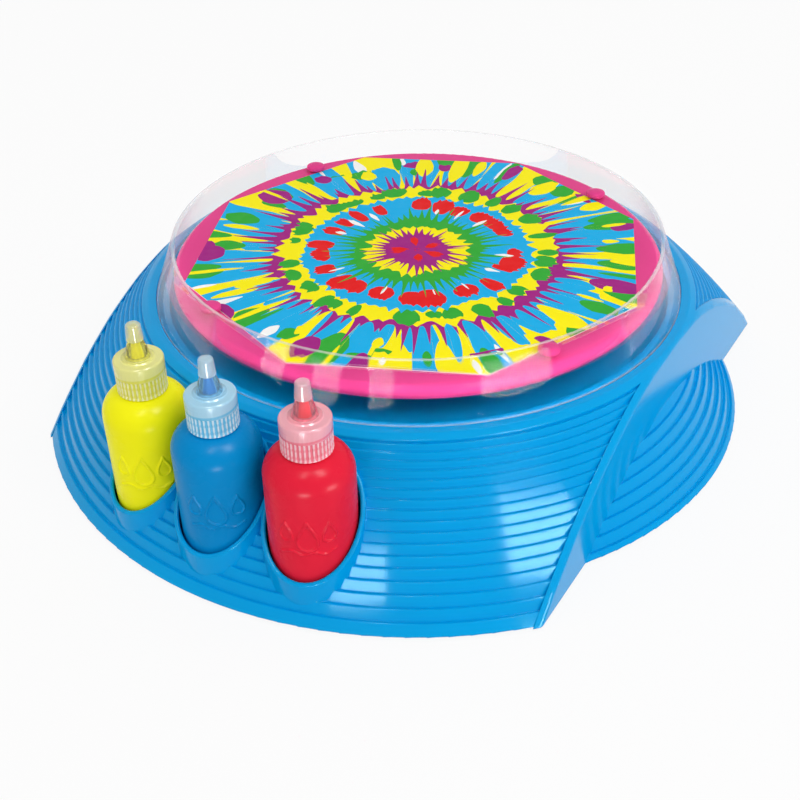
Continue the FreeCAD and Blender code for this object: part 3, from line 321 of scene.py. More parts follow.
# From the paper up, radii in mm. A band runs all round between two radii, and each of its two rows of
# teeth has a count, a length and a sharpness. Streaks are separate: how many, their width in degrees,
# where they start and end, and how blunt their ends are.
cardPaint = [
    {"ink": inkYellow, "from": -9, "to": 150, "wobble": 0, "out": (1, 0, 1), "in": (1, 0, 1)},
    {"ink": inkBlue, "streaks": 46, "wide": (5, 13), "from": (44, 56), "to": (74, 140), "blunt": 2.6},
    {"ink": inkWhite, "streaks": 17, "wide": (1.5, 4), "from": (76, 88), "to": (86, 100), "blunt": 1.6},
    {"ink": inkGreen, "streaks": 37, "wide": (2, 9), "from": (70, 86), "to": (80, 104), "blunt": 2.4},
    {"ink": inkPurple, "streaks": 15, "wide": (4, 10), "from": (74, 88), "to": (84, 98), "blunt": 3.0},
    {"ink": inkYellow, "streaks": 31, "wide": (1.5, 7), "from": (62, 84), "to": (76, 108), "blunt": 2.2},
    {"ink": inkPurple, "from": 55, "to": 61, "wobble": 3, "out": (92, 24, 2.6), "in": (31, 4, 1.4)},
    {"ink": inkYellow, "from": 47, "to": 57, "wobble": 3, "out": (57, 6, 1.4), "in": (43, 4, 1.2)},
    {"ink": inkGreen, "streaks": 29, "wide": (5, 14), "from": (49, 52), "to": (55, 61), "blunt": 3.2},
    {"ink": inkBlue, "from": 24, "to": 48, "wobble": 2, "out": (71, 4, 1.3), "in": (29, 3, 1.2)},
    {"ink": inkRed, "streaks": 23, "wide": (8, 19), "from": (34, 38), "to": (43, 48), "blunt": 4.0},
    {"ink": inkWhite, "streaks": 13, "wide": (1.5, 5), "from": (31, 35), "to": (37, 41), "blunt": 1.6},
    {"ink": inkGreen, "from": 10, "to": 27, "wobble": 2, "out": (64, 17, 2.4), "in": (19, 2, 1.2)},
    {"ink": inkYellow, "from": 8, "to": 20, "wobble": 2, "out": (33, 5, 1.4), "in": (17, 2, 1.0)},
    {"ink": inkPurple, "from": -9, "to": 13, "wobble": 1.5, "out": (39, 13, 2.2), "in": (1, 0, 1)},
    {"ink": inkRed, "streaks": 7, "wide": (20, 44), "from": (3, 5), "to": (8, 11), "blunt": 2.0},
]


def slowWobble(draw, angles, reach):
    # uneven ups and downs that close round the card
    total = np.zeros_like(angles)
    for turns in range(*edgeShape["waves"]):
        total += np.cos(turns * angles + draw.uniform(0, 2 * np.pi)) / turns ** edgeShape["waveFall"]
    return total * reach / edgeShape["waveShare"]


def turnAway(angles, middle, half):
    # how far each angle is from a middle one, where half a width away counts as 1
    return np.abs((angles - middle + np.pi) % (2 * np.pi) - np.pi) / half


def toothRow(draw, angles, count, length, sharp):
    row = np.zeros_like(angles)
    step = 2 * np.pi / count
    shift = edgeShape["toothShift"]
    for i in range(count):
        middle = (i + draw.uniform(-shift, shift)) * step
        away = turnAway(angles, middle, step * draw.uniform(*edgeShape["toothHalf"]))
        tall = length * draw.uniform(edgeShape["toothLeast"], 1.0)
        row = np.maximum(row, tall * np.clip(1 - away, 0, 1) ** sharp)
    return row


def bandEdges(draw, angles, paint):
    start = paint["from"] + slowWobble(draw, angles, paint["wobble"])
    start = start - toothRow(draw, angles, *paint["in"])
    end = paint["to"] + slowWobble(draw, angles, paint["wobble"])
    return start, end + toothRow(draw, angles, *paint["out"])


def streakEdges(draw, angles, paint):
    start, end = np.zeros_like(angles), np.zeros_like(angles)
    ragged = toothRow(draw, angles, *edgeShape["raggedTeeth"])
    for i in range(paint["streaks"]):
        middle = (i + draw.uniform(-0.5, 0.5)) * 2 * np.pi / paint["streaks"]
        away = turnAway(angles, middle, np.radians(draw.uniform(*paint["wide"])) / 2)
        body = np.clip(1 - away ** paint["blunt"], 0, 1)
        low, high = draw.uniform(*paint["from"]), draw.uniform(*paint["to"])
        heart = low + (high - low) * draw.uniform(*edgeShape["heart"])
        longer = (high - low) * body > end - start
        start = np.where(longer, heart - (heart - low) * body, start)
        end = np.where(longer, heart + (high - heart) * body, end)
    return start, np.where(end > start, end + ragged, end)


def cardCorners():
    # the corners of the card's solid, in order round it
    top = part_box("spin_card")[1].z
    corners = {(round(v.co.x, 6), round(v.co.y, 6)) for v in cadNodes["spin_card"].data.vertices
               if v.co.z > top - sameLevel}
    return np.array(sorted(corners, key=lambda c: math.atan2(c[1], c[0])))


def cardReach(corners, angles):
    # from the centre to the card's straight edges, at each angle
    sides = np.roll(corners, -1, axis=0) - corners
    outward = np.stack([sides[:, 1], -sides[:, 0]], axis=1) / np.hypot(*sides.T)[:, None]
    depth = (outward * corners).sum(1)
    toward = np.cos(angles)[:, None] * outward[:, 0] + np.sin(angles)[:, None] * outward[:, 1]
    return np.where(toward > nearly, depth / np.maximum(toward, nearly), farAway).min(1)


def ringAt(reach, angles, height):
    return [(r * math.cos(a), r * math.sin(a), height) for r, a in zip(reach, angles)]


def cardMesh(material):
    low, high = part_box("spin_card")
    corners, rings = cardCorners(), cardLook["rings"]
    angles = np.linspace(-np.pi, np.pi, cardLook["rays"], endpoint=False)
    for corner in np.arctan2(corners[:, 1], corners[:, 0]):
        angles[np.abs(angles - corner).argmin()] = corner
    count = len(angles)
    points, faces = [(0, 0, high.z)], []
    for share in np.linspace(cardLook["firstRing"], 1, rings):
        swirled = angles + cardLook["swirl"] * math.sin(share * cardLook["swirlTurn"]) * (1 - share)
        points += ringAt(cardReach(corners, swirled) * share, swirled, high.z)
    points += ringAt(cardReach(corners, angles), angles, low.z)
    points.append((0, 0, low.z))
    for i in range(count):
        k = (i + 1) % count
        faces.append((0, 1 + i, 1 + k))
        for ring in range(rings):
            first = 1 + ring * count
            faces.append((first + i, first + count + i, first + count + k, first + k))
        last = 1 + rings * count
        faces.append((last + i, len(points) - 1, last + k))
    data = bpy.data.meshes.new("painted_card")
    data.from_pydata(points, [], faces)
    storePaint(data, angles, len(points))
    data.materials.append(material)
    return data


def storePaint(data, angles, pointCount):
    # one attribute for each coat, with the radii where it starts and ends
    draw = np.random.default_rng(cardLook["seed"])
    for number, paint in enumerate(cardPaint):
        edges = streakEdges(draw, angles, paint) if "streaks" in paint else bandEdges(draw, angles, paint)
        values = np.zeros((pointCount, 3))
        for column in (0, 1):
            values[1:-1, column] = np.tile(edges[column], cardLook["rings"] + 1)
            values[0, column] = edges[column].mean()
        stored = data.attributes.new("paint%d" % number, "FLOAT_VECTOR", "POINT")
        stored.data.foreach_set("vector", values.ravel())


def cardMaterial():
    # paints each coat where a point's radius lies between the two in its attribute
    material, tree, shader = startMaterial("paintedCard", {"Specular IOR Level": 0.08})
    parts, level = levelParts(tree, objectPlace(tree))
    radius = calc(tree, "DIVIDE", lengthOf(tree, level), mm)
    ripple = objectNoise(tree, cardLook["rippleScale"], cardLook["rippleDetail"])
    ripple = calc(tree, "SUBTRACT", ripple, cardLook["rippleMiddle"])
    radius = calc(tree, "MULTIPLY_ADD", ripple, cardLook["ripple"], radius)
    colour, coats = cardLook["paper"], 0.0
    for number, paint in enumerate(cardPaint):
        edges = addNode(tree, "Attribute", attribute_name="paint%d" % number).outputs["Vector"]
        edges = addNode(tree, "SeparateXYZ", {0: edges}).outputs
        mask = calc(tree, "MULTIPLY", calc(tree, "GREATER_THAN", radius, edges[0]),
                    calc(tree, "LESS_THAN", radius, edges[1]))
        colour = mixColour(tree, mask, colour, paint["ink"])
        coats = calc(tree, "ADD", coats, mask)
    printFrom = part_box("spin_card")[1].z - cardLook["printDepth"] * mm
    printed = calc(tree, "GREATER_THAN", parts[2], printFrom)
    bump = addNode(tree, "Bump", {"Height": coats, "Strength": cardLook["paintBump"],
                                  "Distance": cardLook["paintHeight"] * mm})
    feed(tree, shader, {"Base Color": mixColour(tree, printed, cardLook["paper"], colour),
                        "Roughness": noiseRamp(tree, cardLook["glossScale"], cardLook["gloss"]),
                        "Normal": bump.outputs[0]})
    return material


def makeCard():
    piece = bpy.data.objects.new("painted_card", cardMesh(cardMaterial()))
    bpy.context.scene.collection.objects.link(piece)
    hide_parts("spin_card")
    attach(piece, "turntable")


makeCard()
print("card painted")


# turned shapes

def softened(points, step=15):
    # each (r, z, radius) corner becomes an arc; the outline is closed
    path = []
    count = len(points)
    for i, point in enumerate(points):
        here = Vector(point[:2])
        if len(point) < 3:
            path.append(tuple(here))
            continue
        before = (Vector(points[i - 1][:2]) - here).normalized()
        after = (Vector(points[(i + 1) % count][:2]) - here).normalized()
        half = before.angle(after) / 2
        centre = here + (before + after).normalized() * (point[2] / math.sin(half))
        reach = point[2] / math.tan(half)
        first = here + before * reach - centre
        last = here + after * reach - centre
        start = math.atan2(first.y, first.x)
        sweep = (math.atan2(last.y, last.x) - start + math.pi) % (2 * math.pi) - math.pi
        parts = max(2, round(abs(math.degrees(sweep)) / step))
        for k in range(parts + 1):
            angle = start + sweep * k / parts
            path.append((centre.x + point[2] * math.cos(angle), centre.y + point[2] * math.sin(angle)))
    return path


def withRows(path, pitch, low, high, leastRadius):
    # adds rows no further apart than pitch where the outline's outer face lies between two heights
    rows = []
    count = len(path)
    for i, here in enumerate(path):
        rows.append(here)
        ahead = path[(i + 1) % count]
        if min(here[0], ahead[0]) < leastRadius or abs(ahead[1] - here[1]) < pitch:
            continue
        parts = math.ceil(abs(ahead[1] - here[1]) / pitch)
        for k in range(1, parts):
            z = here[1] + (ahead[1] - here[1]) * k / parts
            if low < z < high:
                rows.append((here[0] + (ahead[0] - here[0]) * k / parts, z))
    return rows


def turnedPiece(name, path, angles, centre, pushOut=None):
    # spins a closed (r, z) path in mm round an upright axis; points on the axis become one pole
    mesh = bmesh.new()
    rings = []
    for r, z in path:
        if r < nearly:
            rings.append([mesh.verts.new((centre.x, centre.y, z * mm))] * len(angles))
            continue
        ringPoints = []
        for angle in angles:
            radius = (r + (pushOut(r, z, angle) if pushOut else 0.0)) * mm
            x, y = centre.x + radius * math.cos(angle), centre.y + radius * math.sin(angle)
            ringPoints.append(mesh.verts.new((x, y, z * mm)))
        rings.append(ringPoints)
    for i, ring in enumerate(rings):
        following = rings[(i + 1) % len(rings)]
        for j in range(len(angles)):
            k = (j + 1) % len(angles)
            corners = []
            for corner in (ring[j], following[j], following[k], ring[k]):
                if corner not in corners:
                    corners.append(corner)
            if len(corners) > 2:
                mesh.faces.new(corners)
    bmesh.ops.recalc_face_normals(mesh, faces=mesh.faces)
    data = bpy.data.meshes.new(name)
    mesh.to_mesh(data)
    mesh.free()
    piece = bpy.data.objects.new(name, data)
    bpy.context.scene.collection.objects.link(piece)
    shadeRound(data)
    return piece


def shadeRound(data, sharp=32):
    data.shade_smooth()
    data.set_sharp_from_angle(angle=math.radians(sharp))


def evenAngles(count):
    return [2 * math.pi * i / count for i in range(count)]


# squeeze bottles: a straight side, a round shoulder, a threaded neck and a raised emblem of drops

bottleSizes = {"foot": 3.6, "kick": 0.6, "ring": 5.0, "footRound": 1.6, "straight": 49.7, "shoulder": 9.5,
               "neckRadius": 7.3, "neckTop": 74.7, "neckFillet": ((0.3, 0.05), (0.0, 0.4)), "wall": 1.0,
               "neckWall": 1.2, "floor": 1.8, "shoulderSteps": 12, "innerFrom": 3, "coarseSteps": 56}
bottleGloss = {"IOR": 1.14, "Specular IOR Level": 0.5}
threadSizes = {"pitch": 3.1, "height": 0.24, "from": 65.0, "to": 73.6, "rows": 0.35, "blunt": 0.7}
emblemSizes = {"middle": 36.5, "reach": 12.4, "half": 8.6, "pitch": 0.3, "height": 0.5, "line": 0.24,
               "edge": 0.34, "facing": {"red": -92.0, "blue": -90.0, "yellow": -93.0}}
# each drop: across, up, width, height
emblemDrops = [(0.0, 0.6, 8.0, 12.6), (-7.8, 1.7, 5.4, 8.2), (7.8, 1.7, 5.4, 8.2)]
dropShape = {"wide": 0.65, "taper": 1.6, "points": 49}
emblemWave = {"reach": 10.0, "drop": -7.0, "swing": 0.7, "turns": 2.5, "points": 41}
nearSide, nearNeck = 0.05, 0.01  # how close to a radius in mm counts as on it


def emblemLines():
    lines = []
    for across, up, width, height in emblemDrops:
        turn = np.linspace(0, 2 * np.pi, dropShape["points"])
        out = width * dropShape["wide"] * np.sin(turn) * np.sin(turn / 2) ** dropShape["taper"]
        lines.append(np.stack([across + out, up + height / 2 * np.cos(turn)], axis=1))
    run = np.linspace(-1, 1, emblemWave["points"])
    swing = emblemWave["swing"] * np.sin(run * np.pi * emblemWave["turns"])
    lines.append(np.stack([run * emblemWave["reach"], emblemWave["drop"] + swing], axis=1))
    return lines


emblemPaths = emblemLines()


def emblemRise(across, up):
    # height of the raised line at a point of the bottle's side
    nearest = math.inf
    here = np.array((across, up))
    for line in emblemPaths:
        start, step = line[:-1], line[1:] - line[:-1]
        share = np.clip(((here - start) * step).sum(1) / (step ** 2).sum(1), 0, 1)
        gap = here - (start + step * share[:, None])
        nearest = min(nearest, float(np.sqrt((gap ** 2).sum(1)).min()))
    fade = min(1.0, max(0.0, (nearest - emblemSizes["line"]) / emblemSizes["edge"]))
    return emblemSizes["height"] * (1 - fade * fade * (3 - 2 * fade))


def bottlePath(radius):
    s = bottleSizes
    steps, neck, wall = s["shoulderSteps"], s["neckRadius"], s["wall"]
    top = s["foot"] + s["straight"]
    neckFoot = top + s["shoulder"]
    floor = s["foot"] + s["floor"]

    def onShoulder(k, inset=0.0):
        # from the neck, where k is 0, down to the straight side
        a = math.radians(90 * k / steps)
        return neck + (radius - neck) * math.sin(a) - inset, top + s["shoulder"] * math.cos(a) - inset

    foot = [(0, s["foot"] + s["kick"]), (radius - s["ring"], s["foot"] + s["kick"]),
            (radius - s["ring"] + s["kick"], s["foot"]), (radius, s["foot"], s["footRound"])]
    outer = softened(foot + [(radius, top), (0, top)])[:-1]
    outer += [onShoulder(steps - k) for k in range(1, steps)]
    outer += [(neck + out, neckFoot + up) for out, up in s["neckFillet"]]
    outer += [(neck, s["neckTop"]), (neck - s["neckWall"], s["neckTop"])]
    inner = [(neck - s["neckWall"], neckFoot - wall)]
    inner += [onShoulder(k, wall) for k in range(s["innerFrom"], steps + 1)]
    return outer + inner + [(radius - wall, floor), (0, floor)]


def makeBottle(colour):
    node = "bottle_" + colour
    low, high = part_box(node)
    centre = (low + high) / 2
    radius = (high.x - low.x) / 2 / mm
    e, thread = emblemSizes, threadSizes
    facing = math.radians(e["facing"][colour])
    fineReach = e["reach"] / radius
    fineSteps, coarseSteps = round(2 * e["reach"] / e["pitch"]), bottleSizes["coarseSteps"]
    angles = [facing - fineReach + 2 * fineReach * i / fineSteps for i in range(fineSteps)]
    rest = 2 * math.pi - 2 * fineReach
    angles += [facing + fineReach + rest * i / coarseSteps for i in range(coarseSteps)]
    path = withRows(bottlePath(radius), e["pitch"], e["middle"] - e["half"], e["middle"] + e["half"],
                    radius - nearSide)
    path = withRows(path, thread["rows"], thread["from"], thread["to"], bottleSizes["neckRadius"] - nearNeck)

    def relief(r, z, angle):
        away = (angle - facing + math.pi) % (2 * math.pi) - math.pi
        if r > radius - nearSide and abs(z - e["middle"]) < e["half"] and abs(away) < fineReach:
            return emblemRise(away * radius, z - e["middle"])
        if abs(r - bottleSizes["neckRadius"]) < nearNeck and thread["from"] < z < thread["to"]:
            wave = math.sin(2 * math.pi * z / thread["pitch"] - angle)
            return thread["height"] * max(0.0, wave) ** thread["blunt"]
        return 0.0

    piece = turnedPiece("bottle_shell_" + colour, path, angles, centre, relief)
    plastic = finish(colour + "Bottle", bottleTint[colour], looks["softBottle"], **bottleGloss)
    piece.data.materials.append(plastic)
    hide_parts(node)
    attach(piece, node + "_body")


for colour in paintColours:
    makeBottle(colour)
print("bottles made")


# nozzle caps: a cloudy collar with grip ribs under a clear nozzle, and a cone of paint in the nozzle

capSizes = {"bottom": 63.1, "top": 76.3, "radius": 9.1, "lid": 1.6, "inner": 7.6, "topRound": 0.8,
            "ringRadius": 6.3, "ringHeight": 0.5, "nozzleFoot": 4.7, "stepRadius": 2.6, "tipRadius": 1.9,
            "tipEnd": 1.52, "stepHeight": 83.9, "nozzleTop": 89.1, "boreFoot": 2.9, "boreTop": 0.8,
            "softCorner": 0.3, "crispCorner": 0.2, "stepCorner": 0.15}
ribSizes = {"count": 36, "depth": 0.5, "from": 63.5, "to": 70.6, "fade": 0.6, "rows": 0.35, "margin": 0.2,
            "stepsEach": 8, "valleyFrom": 0.45, "valleyTo": -0.35}
paintConeSizes = {"bottom": 74.9, "top": 83.3, "gap": 0.12, "steps": 48}
capTint = {"red": srgb(255, 214, 222), "blue": srgb(218, 243, 253), "yellow": srgb(250, 248, 190)}
capShade = {"red": srgb(246, 128, 148), "blue": srgb(110, 200, 238), "yellow": srgb(232, 228, 84)}
# the collar is pale on its crests and its lid, and the neck's thread shows through it dimly
capLook = {"crestFrom": -0.4, "crestTo": 0.7, "lidFrom": -0.3, "lidTo": 0.6, "lidPale": 0.5, "flowScale": 90,
           "flowDetail": 2.0, "flowStretch": (1, 1, 0.3), "flow": (-0.04, 0.04), "threadFrom": 0.1,
           "threadTo": 0.9, "threadDark": 0.45, "glossRise": 1.5, "rough": (0.2, 0.04), "clearRise": 1.2,
           "clear": (0.12, 0.9), "grain": {"grainScale": 400, "grainDepth": 1e-5}}
tipLook = {"tone": 0.02, "toneScale": 300, "toneDetail": 2.0, "glossScale": 500, "gloss": (0.02, 0.08),
           "grain": {"grainScale": 600, "grainDepth": 1e-5}}


def gripTree(material):
    # carves upright valleys into a turned collar, between two heights
    group = bpy.data.node_groups.new("gripRibs", "GeometryNodeTree")
    group.interface.new_socket("Geometry", in_out="INPUT", socket_type="NodeSocketGeometry")
    group.interface.new_socket("Centre", in_out="INPUT", socket_type="NodeSocketVector")
    for name in ("Rib Count", "Depth", "Least Radius", "From", "To", "Fade"):
        group.interface.new_socket(name, in_out="INPUT", socket_type="NodeSocketFloat")
    group.interface.new_socket("Geometry", in_out="OUTPUT", socket_type="NodeSocketGeometry")
    given = group.nodes.new("NodeGroupInput").outputs
    place = placeNode(group, "GeometryNodeInputPosition").outputs[0]
    out = addNode(group, "VectorMath", {0: place, 1: given["Centre"]}, operation="SUBTRACT").outputs[0]
    parts, level = levelParts(group, out)
    outward = addNode(group, "VectorMath", {0: level}, operation="NORMALIZE").outputs[0]
    turn = calc(group, "MULTIPLY", calc(group, "ARCTAN2", parts[1], parts[0]), given["Rib Count"])
    valley = ramp(group, calc(group, "COSINE", turn), ribSizes["valleyFrom"], ribSizes["valleyTo"])
    lower = ramp(group, parts[2], given["From"], calc(group, "ADD", given["From"], given["Fade"]))
    upper = ramp(group, parts[2], given["To"], calc(group, "SUBTRACT", given["To"], given["Fade"]))
    outer = calc(group, "GREATER_THAN", lengthOf(group, level), given["Least Radius"])
    amount = calc(group, "MULTIPLY", given["Depth"], -1.0)
    for share in (lower, upper, valley, outer):
        amount = calc(group, "MULTIPLY", amount, share)
    offset = addNode(group, "VectorMath", {0: outward, "Scale": amount}, operation="SCALE").outputs[0]
    carved = placeNode(group, "GeometryNodeSetPosition", {"Geometry": given["Geometry"], "Offset": offset})
    real = placeNode(group, "GeometryNodeRealizeInstances", {0: carved.outputs[0]})
    done = placeNode(group, "GeometryNodeSetMaterial", {"Geometry": real.outputs[0], "Material": material})
    group.links.new(done.outputs[0], group.nodes.new("NodeGroupOutput").inputs[0])
    return group


def applyTree(piece, group, values):
    # runs a geometry tree on a piece once and keeps the result as a plain mesh
    modifier = piece.modifiers.new("shape", "NODES")
    modifier.node_group = group
    for item in group.interface.items_tree:
        if item.item_type == "SOCKET" and item.in_out == "INPUT" and item.name in values:
            modifier[item.identifier] = values[item.name]
    evaluated = piece.evaluated_get(bpy.context.evaluated_depsgraph_get())
    data = bpy.data.meshes.new_from_object(evaluated)
    piece.modifiers.clear()
    piece.data = data
    shadeRound(data)


def capMaterial(colour, centre):
    look = capLook
    material, tree, shader = startMaterial(colour + "Cap", {"IOR": 1.4, "Specular IOR Level": 0.6})
    sockets = {0: objectPlace(tree), 1: (centre.x, centre.y, 0)}
    away = addNode(tree, "VectorMath", sockets, operation="SUBTRACT").outputs[0]
    parts = addNode(tree, "SeparateXYZ", {0: away}).outputs
    turn = calc(tree, "ARCTAN2", parts[1], parts[0])
    crest = calc(tree, "COSINE", calc(tree, "MULTIPLY", turn, ribSizes["count"]))
    crest = ramp(tree, crest, look["crestFrom"], look["crestTo"])
    ribTop, lidTop = ribSizes["to"] * mm, capSizes["top"] * mm
    ribbed = calc(tree, "MULTIPLY", crest, calc(tree, "LESS_THAN", parts[2], ribTop))
    lidFrom, lidTo = ribTop + look["lidFrom"] * mm, ribTop + look["lidTo"] * mm
    lid = ramp(tree, parts[2], lidFrom, lidTo, 0.0, look["lidPale"])
    flow = noiseRamp(tree, look["flowScale"], look["flow"], look["flowDetail"], look["flowStretch"])
    pale = calc(tree, "ADD", calc(tree, "MAXIMUM", ribbed, lid), flow)
    climb = calc(tree, "MULTIPLY", parts[2], 2 * math.pi / threadSizes["pitch"] / mm)
    winding = calc(tree, "SINE", calc(tree, "SUBTRACT", climb, turn))
    thread = ramp(tree, winding, look["threadFrom"], look["threadTo"], 0.0, look["threadDark"])
    thread = calc(tree, "MULTIPLY", thread, calc(tree, "LESS_THAN", parts[2], threadSizes["to"] * mm))
    pale = calc(tree, "SUBTRACT", pale, thread)
    feed(tree, shader, {
        "Base Color": mixColour(tree, pale, capShade[colour], capTint[colour]),
        "Roughness": ramp(tree, parts[2], lidTop, lidTop + look["glossRise"] * mm, *look["rough"]),
        "Transmission Weight": ramp(tree, parts[2], lidTop, lidTop + look["clearRise"] * mm, *look["clear"])})
    addGrain(tree, shader, look["grain"])
    return material


def tipMaterial(colour):
    constants = {"IOR": 1.5, "Specular IOR Level": 0.7, "Alpha": 0.4}
    material, tree, shader = startMaterial(colour + "Tip", constants)
    dark, light = tones(capTint[colour], tipLook["tone"])
    flow = noiseRamp(tree, tipLook["toneScale"], detail=tipLook["toneDetail"])
    feed(tree, shader, {"Base Color": mixColour(tree, flow, dark, light),
                        "Roughness": noiseRamp(tree, tipLook["glossScale"], tipLook["gloss"])})
    addGrain(tree, shader, tipLook["grain"])
    return material


def capPath():
    s = capSizes
    soft, crisp = s["softCorner"], s["crispCorner"]
    ringTop = s["top"] + s["ringHeight"]
    path = softened([
        (s["inner"], s["bottom"]), (s["radius"], s["bottom"], soft), (s["radius"], s["top"], s["topRound"]),
        (s["ringRadius"], s["top"], crisp), (s["ringRadius"] - s["ringHeight"], ringTop, crisp),
        (s["nozzleFoot"], ringTop, soft), (s["stepRadius"], s["stepHeight"], s["stepCorner"]),
        (s["tipRadius"], s["stepHeight"]), (s["tipEnd"], s["nozzleTop"], crisp),
        (s["boreTop"], s["nozzleTop"], crisp), (s["boreFoot"], s["top"] - s["lid"]),
        (s["inner"], s["top"] - s["lid"])])
    return withRows(path, ribSizes["rows"], ribSizes["from"] - ribSizes["margin"],
                    ribSizes["to"] + ribSizes["margin"], s["radius"] - nearSide)


def paintConePath():
    # a little smaller than the nozzle's bore
    s, cap = paintConeSizes, capSizes
    boreStart = cap["top"] - cap["lid"]
    slope = (cap["boreFoot"] - cap["boreTop"]) / (cap["nozzleTop"] - boreStart)
    upper = cap["boreFoot"] - slope * (s["top"] - boreStart) - s["gap"]
    return softened([(0, s["bottom"]), (cap["boreFoot"] - s["gap"], s["bottom"], cap["crispCorner"]),
                     (upper, s["top"], cap["softCorner"]), (0, s["top"])])


def makeCap(colour):
    node, body = "nozzle_cap_" + colour, "nozzle_" + colour + "_body"
    low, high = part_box(node)
    centre = (low + high) / 2
    angles = evenAngles(ribSizes["count"] * ribSizes["stepsEach"])
    piece = turnedPiece("grip_cap_" + colour, capPath(), angles, centre)
    values = {"Centre": (centre.x, centre.y, 0.0), "Rib Count": ribSizes["count"],
              "Depth": ribSizes["depth"] * mm, "Least Radius": (capSizes["radius"] - nearSide) * mm,
              "From": ribSizes["from"] * mm, "To": ribSizes["to"] * mm, "Fade": ribSizes["fade"] * mm}
    applyTree(piece, gripTree(capMaterial(colour, centre)), values)
    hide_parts(node)
    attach(piece, body)
    angles = evenAngles(paintConeSizes["steps"])
    paint = turnedPiece("nozzle_paint_" + colour, paintConePath(), angles, centre)
    paint.data.materials.append(paintFill[colour])
    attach(paint, body)


for colour in paintColours:
    makeCap(colour)
    dress("tip_cap_" + colour, tipMaterial(colour))
print("caps made")


# stage: a pale floor that meets a background of the same tone, soft boxes and the camera

stageLook = {"floor": 6.0, "floorGrey": 0.86, "whiteShare": 0.89, "worldLight": 0.72, "worldSeen": 0.966}
# Each soft box is a strip between two points in metres, so tall, that faces the object. The key lights
# the object, and the others only give gloss, to one node where "on" names it.
softBoxes = {
    "key": {"from": (0.25, -1.05, 0.95), "to": (0.95, -0.65, 0.95), "tall": 0.36, "glow": 6.5},
    "highRight": {"from": (0.27, -0.5, 0.96), "to": (0.455, -0.335, 0.96), "tall": 0.5, "glow": 40},
    "highLeft": {"from": (-0.195, -0.516, 0.96), "to": (-0.125, -0.536, 0.96), "tall": 0.5, "glow": 60},
    "lowRight": {"from": (0.089, -0.27, 0.032), "to": (0.165, -0.235, 0.021), "tall": 0.036, "glow": 45},
    "lowLeft": {"from": (-0.078, -0.259, 0.014), "to": (-0.033, -0.268, 0.02), "tall": 0.024, "glow": 40},
    "guardLeft": {"from": (-1.08, -0.49, 0.08), "to": (-0.2, -1.18, 0.19), "tall": 0.045, "glow": 80,
                  "on": "splash_guard"},
    "guardRight": {"from": (0.48, -1.09, 0.178), "to": (0.95, -0.73, 0.115), "tall": 0.04, "glow": 90,
                   "on": "splash_guard"},
}
cameraView = {"place": (0.0, -0.4613, 0.3129), "down": 0.6143766, "turn": -0.0190613, "roll": -0.0226705,
              "lens": 55.06, "sensor": 36, "nearest": 0.01}


def seenDirectly(tree):
    rays = addNode(tree, "LightPath").outputs
    seen = calc(tree, "MAXIMUM", rays["Is Camera Ray"], rays["Is Glossy Ray"])
    return calc(tree, "MAXIMUM", seen, rays["Is Transmission Ray"])


def makeFloor():
    half, grey = stageLook["floor"] / 2, stageLook["floorGrey"]
    corners = [(-half, -half, 0), (half, -half, 0), (half, half, 0), (-half, half, 0)]
    data = bpy.data.meshes.new("floor")
    data.from_pydata(corners, [], [(0, 1, 2, 3)])
    floor = bpy.data.objects.new("floor", data)
    bpy.context.scene.collection.objects.link(floor)
    paper = {"Roughness": 0.9, "Specular IOR Level": 0.0, "Base Color": (grey, grey, grey, 1)}
    material, tree, shader = startMaterial("floorPaper", paper)
    white = addNode(tree, "Emission", {"Color": (1, 1, 1, 1), "Strength": 1.0})
    share = calc(tree, "MULTIPLY", seenDirectly(tree), stageLook["whiteShare"])
    mixed = addNode(tree, "MixShader", {0: share, 1: shader.outputs[0], 2: white.outputs[0]})
    tree.links.new(mixed.outputs[0], tree.nodes["Material Output"].inputs["Surface"])
    data.materials.append(material)


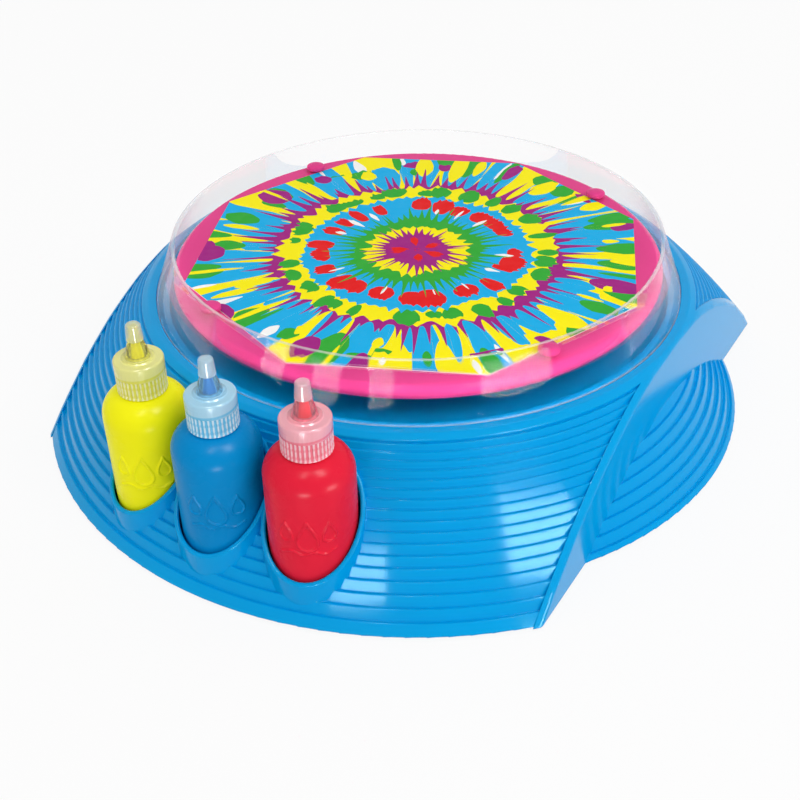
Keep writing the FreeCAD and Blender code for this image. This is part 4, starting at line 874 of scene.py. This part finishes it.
def makeWorld():
    world = bpy.data.worlds.new("studio")
    bpy.context.scene.world = world
    world.use_nodes = True
    tree = world.node_tree
    sockets = {0: seenDirectly(tree), 2: stageLook["worldLight"], 3: stageLook["worldSeen"]}
    level = addNode(tree, "Mix", sockets).outputs[0]
    background = tree.nodes["Background"]
    background.inputs["Color"].default_value = (1, 1, 1, 1)
    tree.links.new(level, background.inputs["Strength"])


def makeSoftBox(name, spec):
    start, end = Vector(spec["from"]), Vector(spec["to"])
    middle = (start + end) / 2
    along = (end - start).normalized()
    back = (middle - (cadLow + cadHigh) / 2).normalized()
    back = (back - along * back.dot(along)).normalized()
    width = (end - start).length
    lamp = bpy.data.lights.new(name, "AREA")
    lamp.shape = "RECTANGLE"
    lamp.size, lamp.size_y = width, spec["tall"]
    lamp.energy = spec["glow"] * math.pi * width * spec["tall"]
    box = bpy.data.objects.new(name, lamp)
    axes = Matrix((along, back.cross(along), back)).transposed()
    box.matrix_world = Matrix.Translation(middle) @ axes.to_4x4()
    box.visible_diffuse = name == "key"
    box.visible_glossy = name != "key"
    box.visible_camera = False
    box.visible_transmission = False
    bpy.context.scene.collection.objects.link(box)
    if "on" in spec:
        lit = bpy.data.collections.new("lit_by_" + name)
        lit.objects.link(cadNodes[spec["on"]])
        box.light_linking.receiver_collection = lit


def makeCamera():
    yaw, pitch, roll = cameraView["turn"], cameraView["down"], cameraView["roll"]
    ahead = Vector((math.sin(yaw) * math.cos(pitch), math.cos(yaw) * math.cos(pitch), -math.sin(pitch)))
    right = ahead.cross(Vector((0, 0, 1))).normalized()
    up = right.cross(ahead)
    rightRolled = math.cos(roll) * right + math.sin(roll) * up
    upRolled = -math.sin(roll) * right + math.cos(roll) * up
    data = bpy.data.cameras.new("camera")
    data.lens = cameraView["lens"]
    data.sensor_width = cameraView["sensor"]
    data.clip_start = cameraView["nearest"]
    camera = bpy.data.objects.new("camera", data)
    axes = Matrix((rightRolled, upRolled, -ahead)).transposed()
    camera.matrix_world = Matrix.Translation(cameraView["place"]) @ axes.to_4x4()
    bpy.context.scene.collection.objects.link(camera)
    bpy.context.scene.camera = camera


makeFloor()
makeWorld()
for boxName, boxSpec in softBoxes.items():
    makeSoftBox(boxName, boxSpec)
makeCamera()
bpy.context.scene.view_settings.view_transform = "Standard"
print("stage done")
